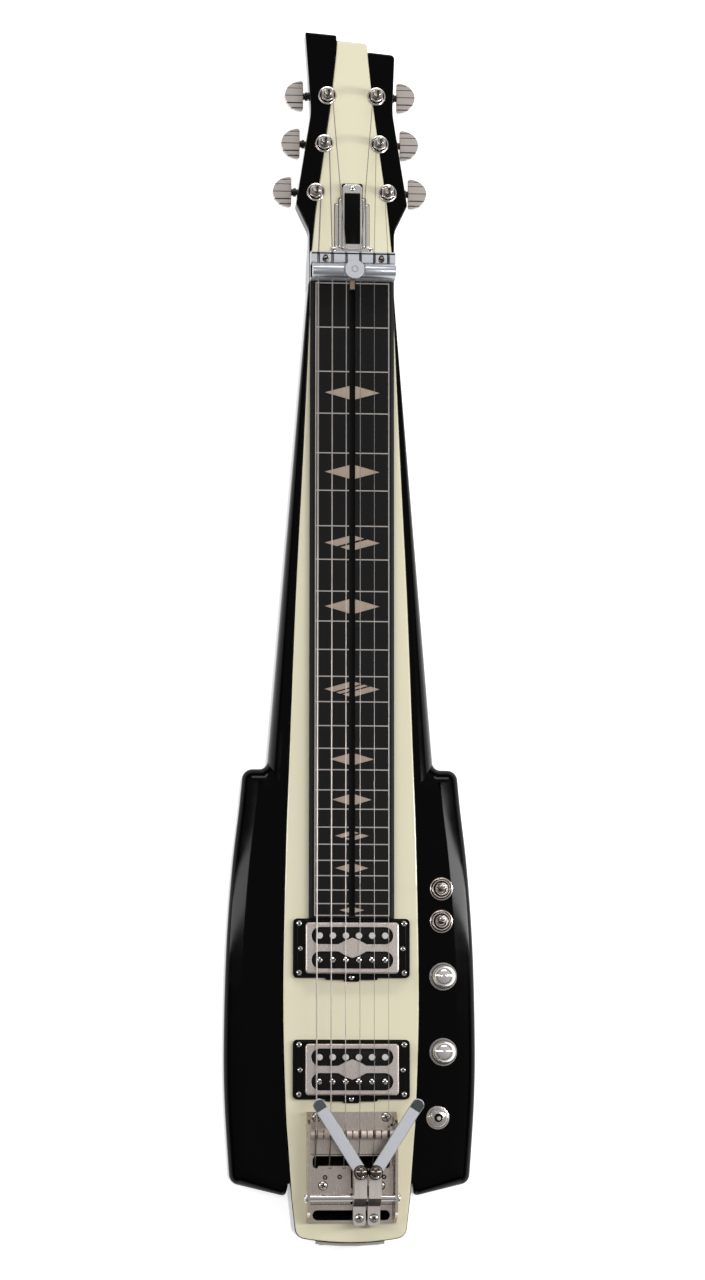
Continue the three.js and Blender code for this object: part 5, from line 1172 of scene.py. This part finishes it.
# switches, knobs and the output jack on the treble wing
controls = {
    "bezel": [(4.5, -8), (4.5, 0), (8.7, 0), (8.85, 0.2), (8.85, 1.2), (8.6, 1.6), (8.1, 1.7), (7.7, 1.4),
              (7.5, 0.5), (7.1, 0.5), (6.95, 1.4), (6.95, 2.4), (6.7, 2.8), (6.1, 2.8), (5.8, 2.4), (5.6, 1.3),
              (5.2, 1.3), (5.05, 2.5), (5.0, 3.5), (4.7, 3.9), (4.1, 3.9), (3.6, 3.3), (3.3, 2.2), (3.2, -2.2)],
    "bezelShadeRings": [(3.25, 3.55), (5.15, 5.75), (7.05, 7.65)],
    "leverPivot": 2, "leverTilt": 12, "ball": (3, 8),
    "lever": [(1.0, -1.9), (1.8, -1.2), (2.1, 0), (1.8, 1.0), (1.1, 1.8), (1.1, 5.4), (1.5, 5.6)],
    "knob": [(3, -9), (3, 0.5), (10.0, 0.5), (10.35, 0.9), (10.35, 3.2), (10.25, 3.5), (9.95, 3.5), (9.85, 3.3),
             (9.8, 3.8), (9.8, 5.5), (9.7, 5.8), (9.45, 5.8), (9.4, 5.6), (9.35, 6.1), (9.35, 7.2)],
    "knobDome": (9.3, 7.4, 16.3), "knobShadeLines": [(9.34, 9.5), (9.82, 10.0)], "lineTop": 6.2,
    "jackRings": [(5.4, -26), (5.4, 0), (8.7, 0), (8.85, 0.2), (8.85, 1.0), (8.6, 1.35), (7.6, 1.45), (7.2, 1.1),
                  (6.95, 1.1), (6.9, 1.4), (6.9, 2.3), (6.6, 2.6), (4.6, 2.6), (4.6, 5.2), (4.4, 5.6), (3.4, 5.7),
                  (3.2, 5.5), (3.2, -24)],
    "jackNut": (6.3, 2.5, 4.9), "jackBarrel": 4.62, "jackBoreShade": [(3.15, -2), (3.15, 4.4)],
    "jackContact": [(1.5, 4.3), (1.5, 4.6), (1.1, 4.9)],
}


def lifted(profile):
    return [(radius, topOfWing + height) for radius, height in profile]


def ringTest(x, d, rings, top=100):
    # for paint: is a face's middle between two radii round the place
    return lambda across, place, up, normal: up < top and any(
        low < hypot(across - x, place - d) < high for low, high in rings)


for number, (x, d) in enumerate(controlSpots["switches"], 1):
    tag = str(number)
    bezel = lathe("switchBezel" + tag, lifted(controls["bezel"]), (x, d, 0), "brightNickel",
                  stands=["switch_bezel_" + tag], sides=64)
    # painted shade: dark rings in the bezel's grooves
    paint(bezel, "shadeAndMattBlack", ringTest(x, d, controls["bezelShadeRings"]))
    radius, level = controls["ball"]
    ball = [(radius * sin(pi * step / 14), level - radius * cos(pi * step / 14)) for step in range(3, 14)]
    lever = turn("switchLever" + tag, controls["lever"] + ball, home, sides=36)
    lever.rotation_euler = (radians(-controls["leverTilt"]), 0, 0)
    lever.location = spot(x, d, topOfWing + controls["leverPivot"])
    settle(lever, "switchLever" + tag)
    dress(lever, "brightNickel", "toggle_" + tag, ["switch_lever_" + tag], smooth=50)
knobProfile = lifted(controls["knob"] + domed(*controls["knobDome"], steps=9, flat=0.08))
for label, (x, d) in zip(("volume", "tone"), controlSpots["knobs"]):
    knob = lathe(label + "Knob", knobProfile, (x, d, 0), "polishedChrome", label, [label + "_knob"], sides=72)
    # painted shade: dark rings in the creases of the knob's stepped side
    paint(knob, "shadeAndMattBlack", ringTest(x, d, controls["knobShadeLines"], topOfWing + controls["lineTop"]))
x, d = controlSpots["jack"][0]
lathe("outputJack", lifted(controls["jackRings"]), (x, d, 0), "brightNickel", stands=["output_jack"], sides=64)
radius, low, high = controls["jackNut"]
hexNut = roundEdges(drill(radius, topOfWing + low, topOfWing + high, x, d, 6), 0.35)
combine(hexNut, [drill(controls["jackBarrel"], topOfWing, topOfWing + 9, x, d, 64)])
# painted shade: a dark lining in the jack's hole
lathe("jackBoreShade", lifted(controls["jackBoreShade"]), (x, d, 0), "shadeAndMattBlack", sides=32)
lathe("jackContact", lifted(controls["jackContact"]), (x + 0.6, d + 0.4, 0), "satinNickel", sides=24)
dress(settle(hexNut, "jackNut"), "chromePlate")
print("stage: controls")

# bridge with its rollers, anchor plate, shaft, bender arms and palm levers
bridge = {
    "saddle": (648, 53.2), "roller": 3.6, "endHalf": 33.4, "end": 2,
    # half width of the grooves under and between the strings, and the radius left in them
    "wideGroove": (0.95, 2.5), "thinGroove": (0.35, 2.7),
    "shaft": (695, 55, 2.5, 33.6, 35.8, 3.8), "studFromPivot": 19.2, "arms": {"3": 5.4, "2": 16.2},
    "lever": (4.6, 64.2, 9, 2, 65.1), "leverTipRise": 22, "leverAngle": 32.3, "leverBore": 2.3, "armShare": 0.93,
    "armSlope": (695.2, 701.4), "armScrew": (709.8, 52.9), "armScrewTurns": {"3": 20, "2": 50},
    "armTrim": [
        # name, profile, place from the stud, finish, sides, smoothing
        ("armDome", [(4.6, 67.35), (5.05, 67.6), *domed(5.05, 68, 72.0, 8)], (0, 0), "darkChrome", 48, 50),
        # painted shade: a dark disc under the dome, and a dark ring round the small ball
        ("armDomeShade", [(5.5, 67.25), (5.5, 67.4)], (0, 0), "shadeAndMattBlack", 48, 32),
        ("armBall", [(1.9, 68.2), (1.9, 70.3)], (0.8, 3.2), "shadeAndMattBlack", 24, 32),
        ("armBallTop", [(1.5, 69.4), *domed(1.5, 70.3, 71.3, 5)], (0.8, 3.2), "brightNickel", 24, 32)],
    "frontScrews": (26, 635.4, 44.45), "anchorScrews": (21.5, 686, 48.45), "grubLevel": 48.1,
    "grubs": [(-19.9, 679.9), (-9.0, 679.5), (24.2, 679.5)],
    "pinHoles": [(28.9, 635, 1.1), (30.3, 641.2, 1.0), (28.0, 642.4, 0.8)],
    "foldShadeLines": (663.0, 699.8), "foldHalf": 30.9, "sideShadeLines": (-31.2, 31.2), "sideReach": (635, 711),
    "lineHalf": 0.25, "plateTop": 44.5,
}
refined("bridge_base", "bridgeBase", "nickelPlate")
refined("anchor_plate", "anchorPlate", "nickelPlate")
saddlePlace, saddleLevel = bridge["saddle"]
end, roller, endHalf = bridge["end"], bridge["roller"], bridge["endHalf"]
stops = [((3.5 - number) * strings["bridgeSpacing"] + endHalf, *bridge["wideGroove"]) for number in range(1, 7)]
stops += [((3 - number) * strings["bridgeSpacing"] + endHalf, *bridge["thinGroove"]) for number in range(1, 6)]
grooves = []
for along, halfWidth, left in sorted(stops):
    grooves += [(roller, along - halfWidth - 0.3), (roller - 0.2, along - halfWidth), (left, along - 0.15),
                (left, along + 0.15), (roller - 0.2, along + halfWidth), (roller, along + halfWidth + 0.3)]
profile = bothEnds([(end, 0), (end, 2), (roller - 0.3, 2.0), (roller, 2.3)], 2 * endHalf, grooves)
rollers = lathe("saddleRollers", profile, (-endHalf, saddlePlace, saddleLevel), "rollerNickel", "saddle",
                ["saddle_bar"], "X", 40)
# painted shade: dark steel in the grooves and the gaps between the rollers
paint(rollers, "darkSteel", lambda x, d, up, normal: hypot(d - saddlePlace, up - saddleLevel) < roller - 0.45)
pivotPlace, pivotLevel, radius, headStart, headEnd, headRadius = bridge["shaft"]
run = headEnd - headStart
profile = bothEnds([(headRadius - 0.9, 0), (headRadius - 0.2, 0.4), (headRadius, 0.9), (headRadius, run - 0.3),
                    (radius, run - 0.2)], 2 * headEnd)
lathe("pivotShaft", profile, (-headEnd, pivotPlace, pivotLevel), "chromePlate", stands=["pivot_shaft"], along="X",
      sides=40)


def makePalmLever(name, x, degrees):
    half, length, tip, thickness, foot = bridge["lever"]
    def roundEnd(middle, angles):
        return [(half * sin(radians(a)), middle + half * cos(radians(a))) for a in angles]
    strip = slab(name, roundEnd(nutPlace, range(90, -91, -10))
                 + roundEnd(nutPlace - length + half, range(270, 89, -10)), 0, thickness)
    scoreAcross(strip, [(length - tip) * mm, (length - tip - 0.8) * mm])
    hinge = (length - tip - 0.4) * mm
    rise = radians(bridge["leverTipRise"])
    for vertex in strip.data.vertices:
        if vertex.co.y > hinge:
            out, up = vertex.co.y - hinge, vertex.co.z
            vertex.co.y = hinge + out * cos(rise) - up * sin(rise)
            vertex.co.z = out * sin(rise) + up * cos(rise)
    roundEdges(combine(strip, [drill(bridge["leverBore"], -2, 5, 0, nutPlace)]), 0.35)
    strip.rotation_euler = (0, 0, radians(degrees))
    strip.location = spot(x, stud, foot)
    return settle(strip, name)


stud = pivotPlace - bridge["studFromPivot"]
slopeStart, slopeEnd = bridge["armSlope"]
tipTilt = cos(radians(bridge["leverTipRise"]))
for tag, x in bridge["arms"].items():
    rider = "bender_" + tag
    arm = reworked("bender_arm_" + tag, "benderArm" + tag, 0.3)
    for vertex in arm.data.vertices:
        vertex.co.x = (x + (vertex.co.x / mm - x) * bridge["armShare"]) * mm
    evenShade(dress(arm, "armSteel", rider, ["bender_arm_" + tag]))
    # painted shade: dark steel on the slope where the arm's plate ends over the shaft
    paint(arm, "darkSteel", lambda across, d, up, normal: slopeStart < d < slopeEnd and 0.1 < normal.z < 0.97)
    lever = makePalmLever("palmLever" + tag, x, bridge["leverAngle"] * (1 if tag == "3" else -1))
    evenShade(dress(lever, "satinAlloy", "palm_lever_" + tag, ["bender_lever_" + tag]))
    # painted shade: the bent tip's tilted faces in the darker alloy
    paint(lever, "tipShadeAlloy", lambda across, d, up, normal: abs(normal.z - tipTilt) < 0.02)
    for name, profile, (acrossStud, pastStud), finish, sides, smooth in bridge["armTrim"]:
        lathe(name + tag, profile, (x + acrossStud, stud + pastStud, 0), finish, rider, sides=sides, smooth=smooth)
    setScrew(largeScrew, "armBlockScrew" + tag, x, *bridge["armScrew"], "brightNickel",
             bridge["armScrewTurns"][tag], rider, rim=3.5)
screwPair(largeScrew, "bridgeScrew", bridge["frontScrews"], "brightNickel", (-26, 26), 3.6)
top = bridge["plateTop"]
# painted shade: dark discs for the pin holes in the plate
for number, (across, fromNut, radius) in enumerate(bridge["pinHoles"], 1):
    lathe("bridgePinHoleShade" + str(number), [(radius, top), (radius, top + 0.06)], (across, fromNut, 0), "shadeAndMattBlack",
          sides=20)
screwPair(largeScrew, "anchorScrew", bridge["anchorScrews"], "brightNickel", (-21.5, 21.5), 3.6)
for number, (across, fromNut) in enumerate(bridge["grubs"], 1):
    setScrew(grubScrew, "anchorGrub" + str(number), across, fromNut, bridge["grubLevel"], "darkSteel", 15 * number,
             rim=2.2)
half = bridge["lineHalf"]
# painted shade: thin dark lines along the plate's folds and its side walls
bridgeShadeLines = [block("line", (-bridge["foldHalf"], bridge["foldHalf"]), (at - half, at + half),
                     (top - 0.1, top + 0.06)) for at in bridge["foldShadeLines"]]
bridgeShadeLines += [block("line", (at - half, at + half), bridge["sideReach"], (top - 0.1, top + 0.07))
                for at in bridge["sideShadeLines"]]
dress(join(bridgeShadeLines, "bridgeShadeLines"), "darkSteel")

# strip over the tail end and its screws
tailScrew = {"across": (-20.5, 20.5), "place": (730.2, 25), "profile": [(2.9, 0), (3.0, 0.3)],
             "dome": (3.0, 0.4, 1.0, 4, 0.5), "slots": [(1.9, 0.3), (0.3, 1.9)], "slotDepth": (730.8, 733)}
refined("tail_plate", "tailPlate", "polishedChrome", 0.35)
fromNut, level = tailScrew["place"]
for name, across in zip(("tailScrewBass", "tailScrewTreble"), tailScrew["across"]):
    screw = turn(name, tailScrew["profile"] + domed(*tailScrew["dome"]), (across, fromNut, level), "-Y", 28)
    dress(combine(screw, [block("cut", (across - wide, across + wide), tailScrew["slotDepth"],
                                (level - tall, level + tall)) for wide, tall in tailScrew["slots"]]), "nickelPlate")
drop(*screwModels.values())
print("stage: bridge and tail plate")
